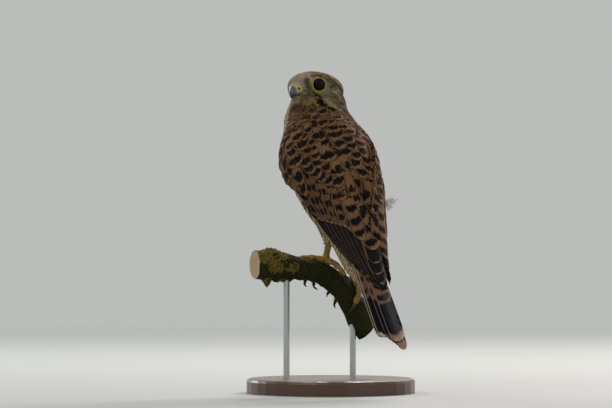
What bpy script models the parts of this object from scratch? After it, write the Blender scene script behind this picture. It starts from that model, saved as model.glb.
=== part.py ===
"""A young common kestrel, life size, on a cut length of branch held by a plain display stand.

The bird perches with its back to -Y and looks back over its left shoulder. Its body is worked out
in a body frame (along the spine, up from the back, to its left) and its head in a head frame
(forwards, left, up), both placed in the part's own frame: metres, +Z up, origin at the centre of
the stand's underside. Lengths in this file are millimetres until a point becomes a vertex.
"""

import math

import bmesh
import bpy
from mathutils import Vector

MM = 0.001
GAP = 0.35  # between solids that meet

# The pose
BODY_HEADING = 37.0  # degrees that the bird faces left of +Y
BODY_PITCH = 63.0  # degrees that the spine rises above level
HEAD_HEADING = 137.0  # degrees left of +Y, so the head is turned by 100
HEAD_PITCH = -5.0
TRUNK_CENTRE = Vector((4.0, 0.0, 208.0))
HEAD_CENTRE = TRUNK_CENTRE + Vector((-23.8, 18.0, 85.4))  # midway between the eyes

# The bird's own sizes
TAIL_CUT = -72.0  # along the spine, where the tail coverts begin
NECK_CUT = 52.0  # along the spine, where the neck begins
CHIN_LEVEL = TRUNK_CENTRE.z + 65.0
EYE_RADIUS = 7.2
EYE_OPENING = 5.9  # radius between the lids
EYE_PLACE = (0.5, 11.0, 0.2)  # forwards, to the side, up from the head's centre
EYE_TURN = 32.0  # degrees that an eye looks forwards of sideways
FACE_FRONT = 20.5  # forwards of the head's centre, where the bill begins
CERE_LENGTH = 3.6
TARSUS_RADIUS = 2.9
TOE_RADIUS = 2.6
TOE_STEPS = 7
CLAW_LENGTH = 10.5
CLAW_RADIUS = 1.7
CLAW_STEPS = 6
FREE_CLAWS = ("middle", "inner")

# The perch and the stand
PERCH_TURN = 0.4  # metres back for each metre to the right
ROD_RADIUS = 3.0
ROD_PLACES = (-46.0, 17.0)  # right of the trunk's centre
ROD_SINK = 8.0  # depth of each rod in the base and in the perch
BASE_RADIUS = 80.0
BASE_HEIGHT = 14.0
BASE_EDGE = 3.0

COLOURS = {
    "rufous_feathers": ((0.20, 0.105, 0.06, 1), 0.75, 0.0),
    "pale_feathers": ((0.55, 0.44, 0.28, 1), 0.85, 0.0),
    "yellow_skin": ((0.62, 0.42, 0.06, 1), 0.5, 0.0),
    "horn": ((0.09, 0.10, 0.13, 1), 0.35, 0.0),
    "eye": ((0.01, 0.007, 0.006, 1), 0.08, 0.0),
    "bark": ((0.10, 0.075, 0.04, 1), 0.9, 0.0),
    "steel": ((0.55, 0.56, 0.57, 1), 0.3, 1.0),
    "stained_wood": ((0.09, 0.045, 0.022, 1), 0.45, 0.0),
}


def clear_scene():
    for obj in list(bpy.data.objects):
        bpy.data.objects.remove(obj, do_unlink=True)


def material(name):
    found = bpy.data.materials.get(name)
    if found:
        return found
    colour, roughness, metallic = COLOURS[name]
    made = bpy.data.materials.new(name)
    made.use_nodes = True
    shader = made.node_tree.nodes["Principled BSDF"]
    shader.inputs["Base Color"].default_value = colour
    shader.inputs["Roughness"].default_value = roughness
    shader.inputs["Metallic"].default_value = metallic
    return made


# Frames


def turned(heading):
    """The level directions forwards and left of something that faces heading degrees left of +Y."""
    h = math.radians(heading)
    return Vector((-math.sin(h), math.cos(h), 0)), Vector((-math.cos(h), -math.sin(h), 0))


def pitched(forwards, pitch):
    """Forwards and up, once forwards is raised by pitch degrees."""
    p = math.radians(pitch)
    up = Vector((0, 0, 1))
    return forwards * math.cos(p) + up * math.sin(p), up * math.cos(p) - forwards * math.sin(p)


LEVEL, LEFT = turned(BODY_HEADING)
SPINE, DORSAL = pitched(LEVEL, BODY_PITCH)
HEAD_LEVEL, HEAD_LEFT = turned(HEAD_HEADING)
HEAD_FRONT, HEAD_UP = pitched(HEAD_LEVEL, HEAD_PITCH)


def in_body(along, left, up):
    return TRUNK_CENTRE + SPINE * along + LEFT * left + DORSAL * up


def in_head(front, left, up):
    return HEAD_CENTRE + HEAD_FRONT * front + HEAD_LEFT * left + HEAD_UP * up


# Curves and solids


def smooth(stations, at):
    """The numbers at this key of a smooth curve through stations of (key, number, ...), keys rising."""
    last = len(stations) - 2
    i = next((k for k in range(last + 1) if at <= stations[k + 1][0]), last)
    low, high = stations[i], stations[i + 1]
    before, after = stations[max(i - 1, 0)], stations[min(i + 2, last + 1)]
    span = high[0] - low[0]
    t = min(max((at - low[0]) / span, 0.0), 1.0)
    found = []
    for k in range(1, len(low)):
        rise_low = (high[k] - before[k]) / (high[0] - before[0]) * span
        rise_high = (after[k] - low[k]) / (after[0] - low[0]) * span
        found.append(
            (2 * t**3 - 3 * t**2 + 1) * low[k]
            + (t**3 - 2 * t**2 + t) * rise_low
            + (3 * t**2 - 2 * t**3) * high[k]
            + (t**3 - t**2) * rise_high
        )
    return found


def spread(low, high, count):
    return [low + (high - low) * i / (count - 1) for i in range(count)]


def rounded_ends(low, high, count, share=0.12):
    """Keys from low to high that crowd towards both ends, for a loft with rounded ends."""
    return [low + (high - low) * (t - share * math.sin(math.tau * t)) for t in spread(0, 1, count)]


def finish(name, bm, slot):
    bmesh.ops.recalc_face_normals(bm, faces=bm.faces)
    mesh = bpy.data.meshes.new(name)
    bm.to_mesh(mesh)
    bm.free()
    mesh.materials.append(material(slot))
    obj = bpy.data.objects.new(name, mesh)
    bpy.context.collection.objects.link(obj)
    return obj


def loft(name, rings, slot):
    """A closed solid through rings of as many points each, its end rings filled."""
    bm = bmesh.new()
    loops = [[bm.verts.new(point * MM) for point in ring] for ring in rings]
    for near, far in zip(loops, loops[1:]):
        for i, corner in enumerate(near):
            j = (i + 1) % len(near)
            bm.faces.new((corner, near[j], far[j], far[i]))
    bm.faces.new(loops[0])
    bm.faces.new(loops[-1])
    return finish(name, bm, slot)


def oval(centre, side, up, half_width, top, bottom, count):
    """A ring with different heights above and below its centre. side and up are unit directions."""
    points = []
    for i in range(count):
        turn = math.tau * i / count
        height = top if math.cos(turn) > 0 else bottom
        points.append(centre + side * half_width * math.sin(turn) + up * height * math.cos(turn))
    return points


def tube(name, path, radii, slot, sides=10):
    """A round solid along path, a list of points."""
    rings = []
    for i, point in enumerate(path):
        along = (path[min(i + 1, len(path) - 1)] - path[max(i - 1, 0)]).normalized()
        side = along.cross(Vector((0.3, -0.2, 1))).normalized()
        rings.append(oval(point, side, side.cross(along), radii[i], radii[i], radii[i], sides))
    return loft(name, rings, slot)


def helper(obj):
    obj.hide_render = True
    obj.display_type = "WIRE"
    return obj


def apply_modifiers(obj):
    graph = bpy.context.evaluated_depsgraph_get()
    mesh = bpy.data.meshes.new_from_object(obj.evaluated_get(graph))
    obj.modifiers.clear()
    obj.data = mesh


def combine(obj, operation, *others):
    """Unites obj with the others or cuts them from it, in place, and hides the others."""
    for other in others:
        step = obj.modifiers.new(other.name, "BOOLEAN")
        step.operation = operation
        step.object = helper(other)
    apply_modifiers(obj)
    return obj


def sliced(whole, name, slot, *planes):
    """A copy of whole's part behind each plane of (point, normal), closed at the cuts, as a new object."""
    bm = bmesh.new()
    bm.from_mesh(whole.data)
    for point, normal in planes:
        bmesh.ops.bisect_plane(
            bm,
            geom=bm.verts[:] + bm.edges[:] + bm.faces[:],
            plane_co=point * MM,
            plane_no=normal,
            clear_outer=True,
        )
        open_edges = [edge for edge in bm.edges if edge.is_boundary]
        filled = bmesh.ops.edgeloop_fill(bm, edges=open_edges)
        bmesh.ops.triangulate(bm, faces=filled["faces"])
    return finish(name, bm, slot)


# The trunk, neck and head, modelled whole and parted by thin cuts

TRUNK = (  # along the spine, half width, back, belly
    (-130, 2, 16, 8),
    (-122, 6.5, 15.5, -2),
    (-110, 10.5, 14, -14),
    (-98, 13.5, 13, -20),
    (-84, 16.5, 14, -22.5),
    (-68, 20.5, 18, -25),
    (-50, 26, 25, -30),
    (-30, 34, 32, -38),
    (-10, 38.5, 38, -43),
    (10, 41, 40.5, -46),
    (28, 40.5, 39, -46),
    (44, 36.5, 34, -44),
    (58, 32, 29.5, -39),
    (70, 25.5, 24, -32),
)
HEAD = (  # forwards, half width, crown, throat
    (-35, 3, -5, -12),
    (-32.5, 12, 1.5, -18),
    (-26, 18.8, 6.4, -22),
    (-17, 21.3, 10.2, -23),
    (-8, 20.2, 12.2, -21.5),
    (0, 17.4, 12.8, -19),
    (7, 16.2, 12.4, -17),
    (13, 15.6, 11.4, -15),
    (17.5, 13.6, 9.4, -13.4),
    (19.5, 10.2, 6.4, -13.2),
    (FACE_FRONT, 6.6, 2.6, -12.4),
)


def trunk(name="trunk_whole", extra=0.0):
    rings = []
    for along in spread(TRUNK[0][0], TRUNK[-1][0], 23):
        width, back, belly = smooth(TRUNK, along)
        centre = (back + belly) / 2
        height = (back - belly) / 2 + extra
        ring = oval(in_body(along, 0, centre), LEFT, DORSAL, width + extra, height, height, 22)
        rings.append(ring)
    return loft(name, rings, "rufous_feathers")


def neck(name="neck_whole", extra=0.0):
    """The short column between the shoulders and the turned head, wholly inside both at its ends."""
    stations = (  # height over the trunk's centre, right, back, half width, half depth
        (36, -14, 13, 34, 31),
        (50, -16.5, 17, 32.5, 30),
        (61, -16.8, 20, 29, 28),
        (70, -16, 21, 26.2, 25.5),
        (80, -16, 22, 21, 20),
        (88, -16, 23, 11, 10),
    )
    rings = []
    for height in spread(36, 88, 9):
        right, behind, width, depth = smooth(stations, height)
        centre = TRUNK_CENTRE + Vector((right, behind, height))
        depth += extra
        rings.append(oval(centre, Vector((1, 0, 0)), Vector((0, 1, 0)), width + extra, depth, depth, 24))
    return loft(name, rings, "rufous_feathers")


def head(name="head_whole"):
    rings = []
    for front in rounded_ends(HEAD[0][0], FACE_FRONT, 15, 0.06):
        width, crown, throat = smooth(HEAD, front)
        centre = (crown + throat) / 2
        height = (crown - throat) / 2
        rings.append(oval(in_head(front, 0, centre), HEAD_LEFT, HEAD_UP, width, height, height, 22))
    return loft(name, rings, "rufous_feathers")


def eye_centre(side):
    front, out, up = EYE_PLACE
    return in_head(front, side * out, up)


def eye_axis(side):
    turn = math.radians(EYE_TURN)
    return HEAD_LEFT * side * math.cos(turn) + HEAD_FRONT * math.sin(turn)


def eye_ball(name, side, radius):
    """A ball flattened a little along its sight line, as a bird's eye is."""
    bm = bmesh.new()
    bmesh.ops.create_uvsphere(bm, u_segments=14, v_segments=8, radius=radius * MM)
    turn = eye_axis(side).to_track_quat("Z", "Y").to_matrix()
    bmesh.ops.rotate(bm, verts=bm.verts, matrix=turn)
    bmesh.ops.translate(bm, verts=bm.verts, vec=eye_centre(side) * MM)
    return finish(name, bm, "eye")


def make_eyes(skull):
    for name, side in (("eye_left", 1), ("eye_right", -1)):
        eye_ball(name, side, EYE_RADIUS)
        socket = eye_ball(name + "_socket", side, EYE_RADIUS + GAP)
        path = [eye_centre(side) + eye_axis(side) * reach for reach in (3.6, 7.0, 12.0)]
        lids = tube(name + "_lids", path, [EYE_OPENING, EYE_OPENING + 0.6, EYE_OPENING + 2.4], "eye", 16)
        combine(skull, "DIFFERENCE", socket, lids)


# The tail, a stack of twelve feathers that steps back towards its left edge

TAIL = (  # along the spine, half width, top, thickness
    (-188, 13.4, 24.5, 2.2),
    (-150, 15.0, 20.6, 3.0),
    (-115, 15.2, 17.2, 3.8),
    (-82, 14.4, 14.0, 4.8),
    (-56, 11, 11, 5.2),
)
TAIL_SWING = 0.084  # to the left for each length along it
TAIL_ARCH = 3.0  # its edges lie this much lower than its middle
TIP_STEPS = ((-1.0, -7.0), (-0.6, -8.5), (0.0, 0.0), (0.6, 3.0), (1.0, 8.0))  # across, shorter by
TIP_LENGTH = 16.0  # over which the slanting tip grows


def tail(name="tail_whole", extra=0.0):
    across = spread(-1.0, 1.0, 9)
    rings = []
    for along in spread(TAIL[0][0], TAIL[-1][0], 12):
        width, top, thick = smooth(TAIL, along)
        growth = max(0.0, 1 - (along - TAIL[0][0]) / TIP_LENGTH)
        swing = TAIL_SWING * (TAIL[-1][0] - along)
        upper, lower = [], []
        for v in across:
            step = smooth(TIP_STEPS, v)[0] * growth
            height = top - TAIL_ARCH * v * v
            left = swing + v * (width + extra)
            upper.append(in_body(along + step, left, height + extra))
            lower.append(in_body(along + step, left, height - thick - extra))
        rings.append(upper + lower[::-1])
    return loft(name, rings, "rufous_feathers")


def make_body():
    whole = combine(trunk(), "UNION", neck(), head(), tail())
    helper(whole)
    down, chin = -SPINE, Vector((0, 0, CHIN_LEVEL))
    level = Vector((0, 0, 1))
    half = GAP / 2
    neck_low, tail_high = in_body(NECK_CUT, 0, 0), in_body(TAIL_CUT, 0, 0)
    skull = sliced(whole, "head", "rufous_feathers", (chin + level * half, -level))
    sliced(
        whole, "neck", "rufous_feathers", (chin - level * half, level), (neck_low + SPINE * half, down)
    )
    sliced(
        whole, "trunk", "rufous_feathers", (neck_low + down * half, SPINE), (tail_high + SPINE * half, down)
    )
    sliced(whole, "tail", "rufous_feathers", (tail_high + down * half, SPINE))
    make_eyes(skull)


# The bill: a yellow cere, a hooked upper half and a lower half

CERE_END = 1.0  # the station where horn begins
UPPER_BILL = (  # station, ridge forwards and up, cutting edge forwards and up, half width
    (0.0, FACE_FRONT + GAP, 1.2, FACE_FRONT + GAP, -8.0, 5.2),
    (CERE_END, FACE_FRONT + CERE_LENGTH, 0.6, FACE_FRONT + 2.8, -8.3, 4.7),
    (2.0, 26.4, -1.2, 24.5, -8.5, 4.0),
    (3.0, 27.9, -4.0, 25.3, -8.7, 3.1),
    (4.0, 28.4, -7.0, 25.9, -9.0, 2.1),
    (5.0, 28.1, -9.4, 26.4, -9.6, 1.2),
    (6.0, 27.2, -11.2, 26.7, -11.1, 0.35),
)
LOWER_BILL = (  # forwards, middle's height, half height, half width
    (FACE_FRONT + GAP, -10.5, 1.7, 4.4),
    (FACE_FRONT + 2.5, -10.6, 1.5, 3.7),
    (FACE_FRONT + 4.5, -10.7, 1.0, 2.2),
)


def upper_bill_rings(low, high, count):
    rings = []
    for station in spread(low, high, count):
        ridge_front, ridge_up, edge_front, edge_up, width = smooth(UPPER_BILL, station)
        ridge, edge = in_head(ridge_front, 0, ridge_up), in_head(edge_front, 0, edge_up)
        reach = (ridge - edge).length / 2
        rings.append(oval((ridge + edge) / 2, HEAD_LEFT, (ridge - edge).normalized(), width, reach, reach, 14))
    return rings


def make_bill():
    loft("cere", upper_bill_rings(0.0, CERE_END - 0.1, 4), "yellow_skin")
    loft("bill_upper", upper_bill_rings(CERE_END, 6.0, 11), "horn")
    rings = []
    for front in spread(LOWER_BILL[0][0], LOWER_BILL[-1][0], 5):
        up, height, width = smooth(LOWER_BILL, front)
        rings.append(oval(in_head(front, 0, up), HEAD_LEFT, HEAD_UP, width, height, height, 22))
    loft("bill_lower", rings, "horn")


# The folded wings: thick shells on an oval round the spine, from a medial to a lateral edge

WING = (  # along the spine, edge angles from the back's middle, top, side, centre, edge drop, thickness
    (-131, -2, 20, 5.5, 6.5, 19.0, 0.0, 1.3),
    (-126, -14, 50, 6.8, 9.5, 18.0, 0.0, 1.5),
    (-118, -24, 82, 8.6, 14.5, 16.0, 0.3, 1.8),
    (-104, -27, 102, 12.5, 21.0, 12.0, 1.0, 2.2),
    (-88, -21, 108, 17.5, 26.5, 8.0, 1.5, 3.2),
    (-70, -8, 103, 24.0, 31.0, 3.4, 3.0, 5.0),
    (-50, 5, 99, 31.8, 37.0, 0.0, 5.0, 7.0),
    (-30, 12, 97, 38.6, 42.4, -2.0, 5.0, 8.5),
    (-16, 18, 101, 41.9, 45.0, -2.0, 3.5, 9.0),
    (-6, 22, 113, 43.0, 47.2, -2.0, 1.5, 9.5),
    (6, 27, 122, 44.0, 49.0, -1.5, 0.5, 10.0),
    (24, 32, 124, 44.0, 49.0, -1.0, 0.0, 10.0),
    (40, 40, 117, 40.6, 44.0, 0.0, 0.0, 8.0),
    (50, 50, 104, 37.0, 38.5, 0.0, 0.0, 6.0),
    (56, 64, 86, 34.8, 35.2, 0.0, 0.0, 4.0),
)
WING_SLIP = {1: (0.0, 0.0), -1: (-9.0, 2.0)}  # the right wing hangs lower and closer in
WING_FULLER = {1: 2.4, -1: 0.0}  # the left shoulder's feathers are looser, most at this place:
FULLEST, FULLER_REACH = 8.0, 48.0  # along the spine, and how far the looseness runs from there
SHOULDER_ANGLE = 62.0  # where a wing stands furthest out


def wing(name, side, extra=0.0, first_medial=-90.0):
    """side is 1 for the left wing. first_medial keeps the medial edge off the back's middle."""
    slip, inwards = WING_SLIP[side]
    fuller = WING_FULLER[side]
    rings = []
    for along in rounded_ends(WING[0][0], WING[-1][0], 21, 0.05):
        medial, lateral, top, wide, centre, drop, thick = smooth(WING, along)
        margin = math.degrees(extra / top)
        medial = max(medial - margin, first_medial)
        wide += fuller * max(0.0, 1 - ((along - FULLEST) / FULLER_REACH) ** 2)
        lateral += margin
        outer, inner = [], []
        for angle in spread(medial, max(lateral, medial + 6), 9):
            turn = math.radians(angle)
            past = max(0.0, (angle - SHOULDER_ANGLE) / max(lateral - SHOULDER_ANGLE, 1.0))
            for points, shift in ((outer, extra), (inner, -thick - extra)):
                r_top, r_side = top + shift, wide + shift - drop * past
                left, up = r_side * math.sin(turn), r_top * math.cos(turn)
                points.append(in_body(along + slip, side * left + inwards, centre + up))
        rings.append(outer + inner[::-1])
    return loft(name, rings, "rufous_feathers")


def make_wings():
    left = wing("wing_left", 1)
    right = wing("wing_right", -1, first_medial=1.5)
    combine(right, "DIFFERENCE", wing("wing_left_cutter", 1, GAP))
    for piece in (left, right):
        cutters = [make(f"{piece.name}_{make.__name__}", GAP) for make in (trunk, tail, neck)]
        combine(piece, "DIFFERENCE", *cutters)


# The perch, a bent branch, and points on its bark

PERCH_PATH = (  # right of the trunk's centre, height over it
    (-76, -86),
    (-62, -85.5),
    (-47.5, -87.4),
    (-33.3, -89.8),
    (-18, -93.2),
    (-6, -98.2),
    (4, -106.8),
    (12, -117.5),
    (24, -136),
    (31, -148),
)
PERCH_SIZES = ((-76, 13.4), (-60, 13.8), (-40, 11.0), (-18, 10.2), (0, 10.8), (20, 11.8), (31, 12.4))


def perch_centre(right):
    height = smooth(PERCH_PATH, right)[0]
    return TRUNK_CENTRE + Vector((right, 1 + PERCH_TURN * right, height))


def on_perch(right, turn, off):
    """The point off the bark, turn degrees round the perch from its top towards its far side."""
    along = (perch_centre(right + 0.5) - perch_centre(right - 0.5)).normalized()
    far = Vector((0, 0, 1)).cross(along).normalized()
    up = along.cross(far)
    reach = smooth(PERCH_SIZES, right)[0] + off
    angle = math.radians(turn)
    return perch_centre(right) + (up * math.cos(angle) + far * math.sin(angle)) * reach


def perch(name, extra=0.0):
    sides = 14
    rings = []
    for right in spread(PERCH_PATH[0][0], PERCH_PATH[-1][0], 20):
        ring = []
        for i in range(sides):
            turn = 360 * i / sides
            knots = 0.35 * math.sin(math.radians(3 * turn) + right * 0.21) + 0.25 * math.sin(right * 0.55)
            ring.append(on_perch(right, turn, knots + extra))
        rings.append(ring)
    return loft(name, rings, "bark")


# The legs: feathered thighs, scaly shanks, and feet that grip the perch

FOOT_PLACES = {1: -13.0, -1: 8.0}  # left and right foot, right of the trunk's centre
ANKLES = {1: Vector((-6.2, -4.0, -66.0)), -1: Vector((12.0, 12.0, -79.0))}
HIPS = {1: Vector((-6.5, -1.0, -36.0)), -1: Vector((9.0, 16.0, -40.0))}
TOES = {  # for each foot: how far each toe runs along the perch, and round it from and to
    1: {"outer": (-19, 6, 40), "middle": (-10, 14, 134), "inner": (-1, 20, 138), "hind": (13, -2, -48)},
    -1: {"outer": (13, 10, 96), "middle": (3, 18, 126), "inner": (-4, 20, 120), "hind": (7, -2, -98)},
}
SIDE_NAMES = {1: "left", -1: "right"}


def thigh(side):
    hip, ankle = TRUNK_CENTRE + HIPS[side], TRUNK_CENTRE + ANKLES[side]
    widths = ((0.0, 16), (0.35, 13), (0.65, 8.5), (0.88, 5.4), (1.0, 4.4))
    down = (ankle - hip).normalized()
    across = down.cross(LEVEL).normalized()
    rings = []
    for t in spread(0, 1, 9):
        reach = smooth(widths, t)[0]
        rings.append(oval(hip.lerp(ankle, t), across, across.cross(down), reach, reach, reach, 14))
    piece = loft("thigh_" + SIDE_NAMES[side], rings, "pale_feathers")
    return combine(piece, "DIFFERENCE", trunk(piece.name + "_trunk", GAP))


def shank(side, name, extra=0.0):
    foot_top = on_perch(FOOT_PLACES[side], 4, TOE_RADIUS + 4.2)
    ankle = TRUNK_CENTRE + ANKLES[side]
    top = ankle - (foot_top - ankle).normalized() * extra
    path = [top.lerp(foot_top, t) for t in spread(0, 1, 5)]
    radii = [TARSUS_RADIUS * k + extra for k in (1.1, 1.0, 0.95, 1.0, 1.12)]
    return tube(name, path, radii, "yellow_skin", 10)


def toe_path(side, toe, count):
    run, first, last = TOES[side][toe]
    start = FOOT_PLACES[side]
    points = []
    for t in spread(0, 1, count):
        off = TOE_RADIUS + GAP + 1.6 * math.sin(math.pi * t) * (1 - t)
        points.append(on_perch(start + run * t, first + (last - first) * t, off))
    return points


def claw(side, toe, toe_path_points):
    """A tapering hook from a toe's end. The claws of the front toes hang free, the others lie on the bark."""
    run, first, last = TOES[side][toe]
    end = toe_path_points[-1]
    along = (end - toe_path_points[-2]).normalized()
    inward = (perch_centre(FOOT_PLACES[side] + run) - end).normalized()
    heading = (along - inward * 0.35).normalized()
    toe_length = sum((b - a).length for a, b in zip(toe_path_points, toe_path_points[1:]))
    path, radii = [], []
    point = end + along * 2 * GAP
    for share in spread(0, 1, CLAW_STEPS):
        if toe in FREE_CLAWS:
            path.append(point.copy())
            heading = (heading + inward * 0.14 + Vector((0.13, 0, 0))).normalized()
            point = point + heading * CLAW_LENGTH / (CLAW_STEPS - 1)
        else:
            t = 1 + (2 * GAP + share * CLAW_LENGTH) / toe_length
            off = TOE_RADIUS + GAP + 1.2 * math.sin(math.pi * share) - 1.7 * share**2
            path.append(on_perch(FOOT_PLACES[side] + run * t, first + (last - first) * t, off))
        radii.append(CLAW_RADIUS * (1 - share) ** 0.8 + 0.22)
    return tube(f"claw_{SIDE_NAMES[side]}_{toe}", path, radii, "horn", 7)


def foot(side):
    ball = on_perch(FOOT_PLACES[side], 4, TOE_RADIUS + 1.4)
    bm = bmesh.new()
    bmesh.ops.create_icosphere(bm, subdivisions=2, radius=4.3 * MM)
    bmesh.ops.translate(bm, verts=bm.verts, vec=ball * MM)
    piece = finish("foot_" + SIDE_NAMES[side], bm, "yellow_skin")
    toes = []
    for toe in TOES[side]:
        path = toe_path(side, toe, TOE_STEPS)
        radii = [TOE_RADIUS * (1.12 - 0.28 * t) for t in spread(0, 1, TOE_STEPS)]
        toes.append(tube(f"toe_{side}_{toe}", path, radii, "yellow_skin", 8))
        claw(side, toe, path)
    combine(piece, "UNION", *toes)
    return combine(piece, "DIFFERENCE", perch(piece.name + "_perch", GAP))


def make_legs():
    for side in (1, -1):
        upper = thigh(side)
        lower = shank(side, "tarsus_" + SIDE_NAMES[side])
        combine(upper, "DIFFERENCE", shank(side, lower.name + "_socket", GAP))
        foot(side)
        ball = on_perch(FOOT_PLACES[side], 4, TOE_RADIUS + 1.4)
        bm = bmesh.new()
        bmesh.ops.create_icosphere(bm, subdivisions=2, radius=(4.3 + GAP) * MM)
        bmesh.ops.translate(bm, verts=bm.verts, vec=ball * MM)
        combine(lower, "DIFFERENCE", finish(lower.name + "_ball", bm, "yellow_skin"))


# The stand: a turned base with two steel rods up to the perch


def upright(name, centre, radius, low, high, slot, sides=16):
    bm = bmesh.new()
    bmesh.ops.create_cone(
        bm, cap_ends=True, segments=sides, radius1=radius * MM, radius2=radius * MM, depth=(high - low) * MM
    )
    bmesh.ops.translate(bm, verts=bm.verts, vec=Vector((centre.x, centre.y, (low + high) / 2)) * MM)
    return finish(name, bm, slot)


def make_stand():
    branch = perch("perch")
    base = upright("stand_base", Vector(), BASE_RADIUS, 0, BASE_HEIGHT, "stained_wood", 36)
    bm = bmesh.new()
    bm.from_mesh(base.data)
    top_edges = [e for e in bm.edges if all(v.co.z > BASE_HEIGHT * MM * 0.99 for v in e.verts)]
    bmesh.ops.bevel(bm, geom=top_edges, offset=BASE_EDGE * MM, segments=2, profile=0.5, affect="EDGES")
    bm.to_mesh(base.data)
    bm.free()
    for i, right in enumerate(ROD_PLACES, 1):
        middle = perch_centre(right)
        size = smooth(PERCH_SIZES, right)[0]
        low, high = BASE_HEIGHT - ROD_SINK, middle.z - size + ROD_SINK
        upright(f"stand_rod_{i}", middle, ROD_RADIUS, low, high, "steel")
        bore = upright(f"bore_{i}", middle, ROD_RADIUS + GAP, low - GAP, high + GAP, "steel")
        combine(branch, "DIFFERENCE", bore)
        combine(base, "DIFFERENCE", bore)


def shade():
    for obj in bpy.data.objects:
        if obj.type == "MESH" and not obj.hide_render:
            obj.data.shade_smooth()
            obj.data.set_sharp_from_angle(angle=math.radians(40))


clear_scene()
make_body()
make_bill()
make_wings()
make_legs()
make_stand()
shade()
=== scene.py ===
"""The looks of a young common kestrel, life size, on a perch held by a plain display stand.

Metres, +Z up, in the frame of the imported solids. The file follows the making of the model: studio,
stand, perch, skin, coat, flight feathers, tail, eyes, bill, legs, down.
"""

import math

import bmesh
import bpy
import numpy as np
from mathutils import Matrix, Vector, noise
from mathutils.bvhtree import BVHTree


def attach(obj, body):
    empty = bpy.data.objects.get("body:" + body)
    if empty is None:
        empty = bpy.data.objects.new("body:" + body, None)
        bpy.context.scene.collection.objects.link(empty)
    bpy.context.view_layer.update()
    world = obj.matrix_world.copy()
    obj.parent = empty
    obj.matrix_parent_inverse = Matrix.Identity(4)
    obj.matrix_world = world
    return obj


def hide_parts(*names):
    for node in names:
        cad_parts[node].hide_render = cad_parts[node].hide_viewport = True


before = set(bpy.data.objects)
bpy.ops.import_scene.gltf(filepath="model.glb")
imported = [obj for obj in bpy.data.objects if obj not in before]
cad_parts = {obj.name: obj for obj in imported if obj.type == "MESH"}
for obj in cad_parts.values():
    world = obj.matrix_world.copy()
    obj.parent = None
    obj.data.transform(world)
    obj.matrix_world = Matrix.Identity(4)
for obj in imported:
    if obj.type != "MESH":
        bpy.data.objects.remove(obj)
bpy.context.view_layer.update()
for thing in bpy.context.selected_objects:
    thing.select_set(False)
MM = 0.001


# The studio
# A long lens looks level at the bird from four metres. The floor is a pale disc that fades into
# the pale room, and soft lamps stand above on both sides with a brighter one behind.

PIXEL = 0.95 * MM  # of the photograph, at the bird
AXIS_PIXEL = 330.8  # the photograph's column at x = 0
FLOOR_PIXEL = 393.0  # and its row at z = 0
PHOTO_SIZE = (612, 408)
CAMERA_DISTANCE = 4.0
CAMERA_PLACE = Vector((
    (PHOTO_SIZE[0] / 2 - AXIS_PIXEL) * PIXEL,
    -CAMERA_DISTANCE,
    (FLOOR_PIXEL - PHOTO_SIZE[1] / 2) * PIXEL,
))


def sight(column, row):
    """The direction from the camera through this pixel of the photograph."""
    aim = Vector(((column - AXIS_PIXEL) * PIXEL, 0, (FLOOR_PIXEL - row) * PIXEL))
    return (aim - CAMERA_PLACE).normalized()


camera_data = bpy.data.cameras.new("camera")
camera_data.sensor_width = 36.0
camera_data.lens = camera_data.sensor_width * CAMERA_DISTANCE / (PHOTO_SIZE[0] * PIXEL)
camera_data.clip_end = 60.0
camera = bpy.data.objects.new("camera", camera_data)
camera.location = CAMERA_PLACE
camera.rotation_euler = (math.radians(90), 0, 0)
bpy.context.collection.objects.link(camera)
bpy.context.scene.camera = camera

ROOM_COLOUR = (0.80, 0.82, 0.80, 1)
ROOM_LIGHT = 0.62
room = bpy.data.worlds.new("room")
room.use_nodes = True
room.node_tree.nodes["Background"].inputs["Color"].default_value = ROOM_COLOUR
room.node_tree.nodes["Background"].inputs["Strength"].default_value = ROOM_LIGHT
bpy.context.scene.world = room
bpy.context.scene.view_settings.view_transform = "Standard"

LAMPS = {  # place, size, power in watts, colour
    "lamp_front_left": ((-1.4, -1.8, 1.5), 1.2, 13, (1.0, 0.97, 0.93)),
    "lamp_front_right": ((1.6, -1.5, 0.9), 1.4, 6, (0.93, 0.97, 1.0)),
    "lamp_behind_right": ((1.1, 1.5, 1.2), 0.7, 40, (1.0, 0.93, 0.90)),
    "lamp_above": ((0.1, 1.1, 1.4), 0.4, 14, (1.0, 0.95, 0.92)),
    "lamp_behind_left": ((-1.3, 1.3, 0.9), 0.9, 20, (0.95, 0.98, 1.0)),
}
for name, (place, size, power, colour) in LAMPS.items():
    lamp_data = bpy.data.lights.new(name, "AREA")
    lamp_data.size = size
    lamp_data.energy = power
    lamp_data.color = colour
    lamp = bpy.data.objects.new(name, lamp_data)
    lamp.location = place
    lamp.rotation_euler = (Vector((0, 0, 0.2)) - Vector(place)).to_track_quat("-Z", "Y").to_euler()
    lamp.visible_camera = False
    bpy.context.collection.objects.link(lamp)


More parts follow.
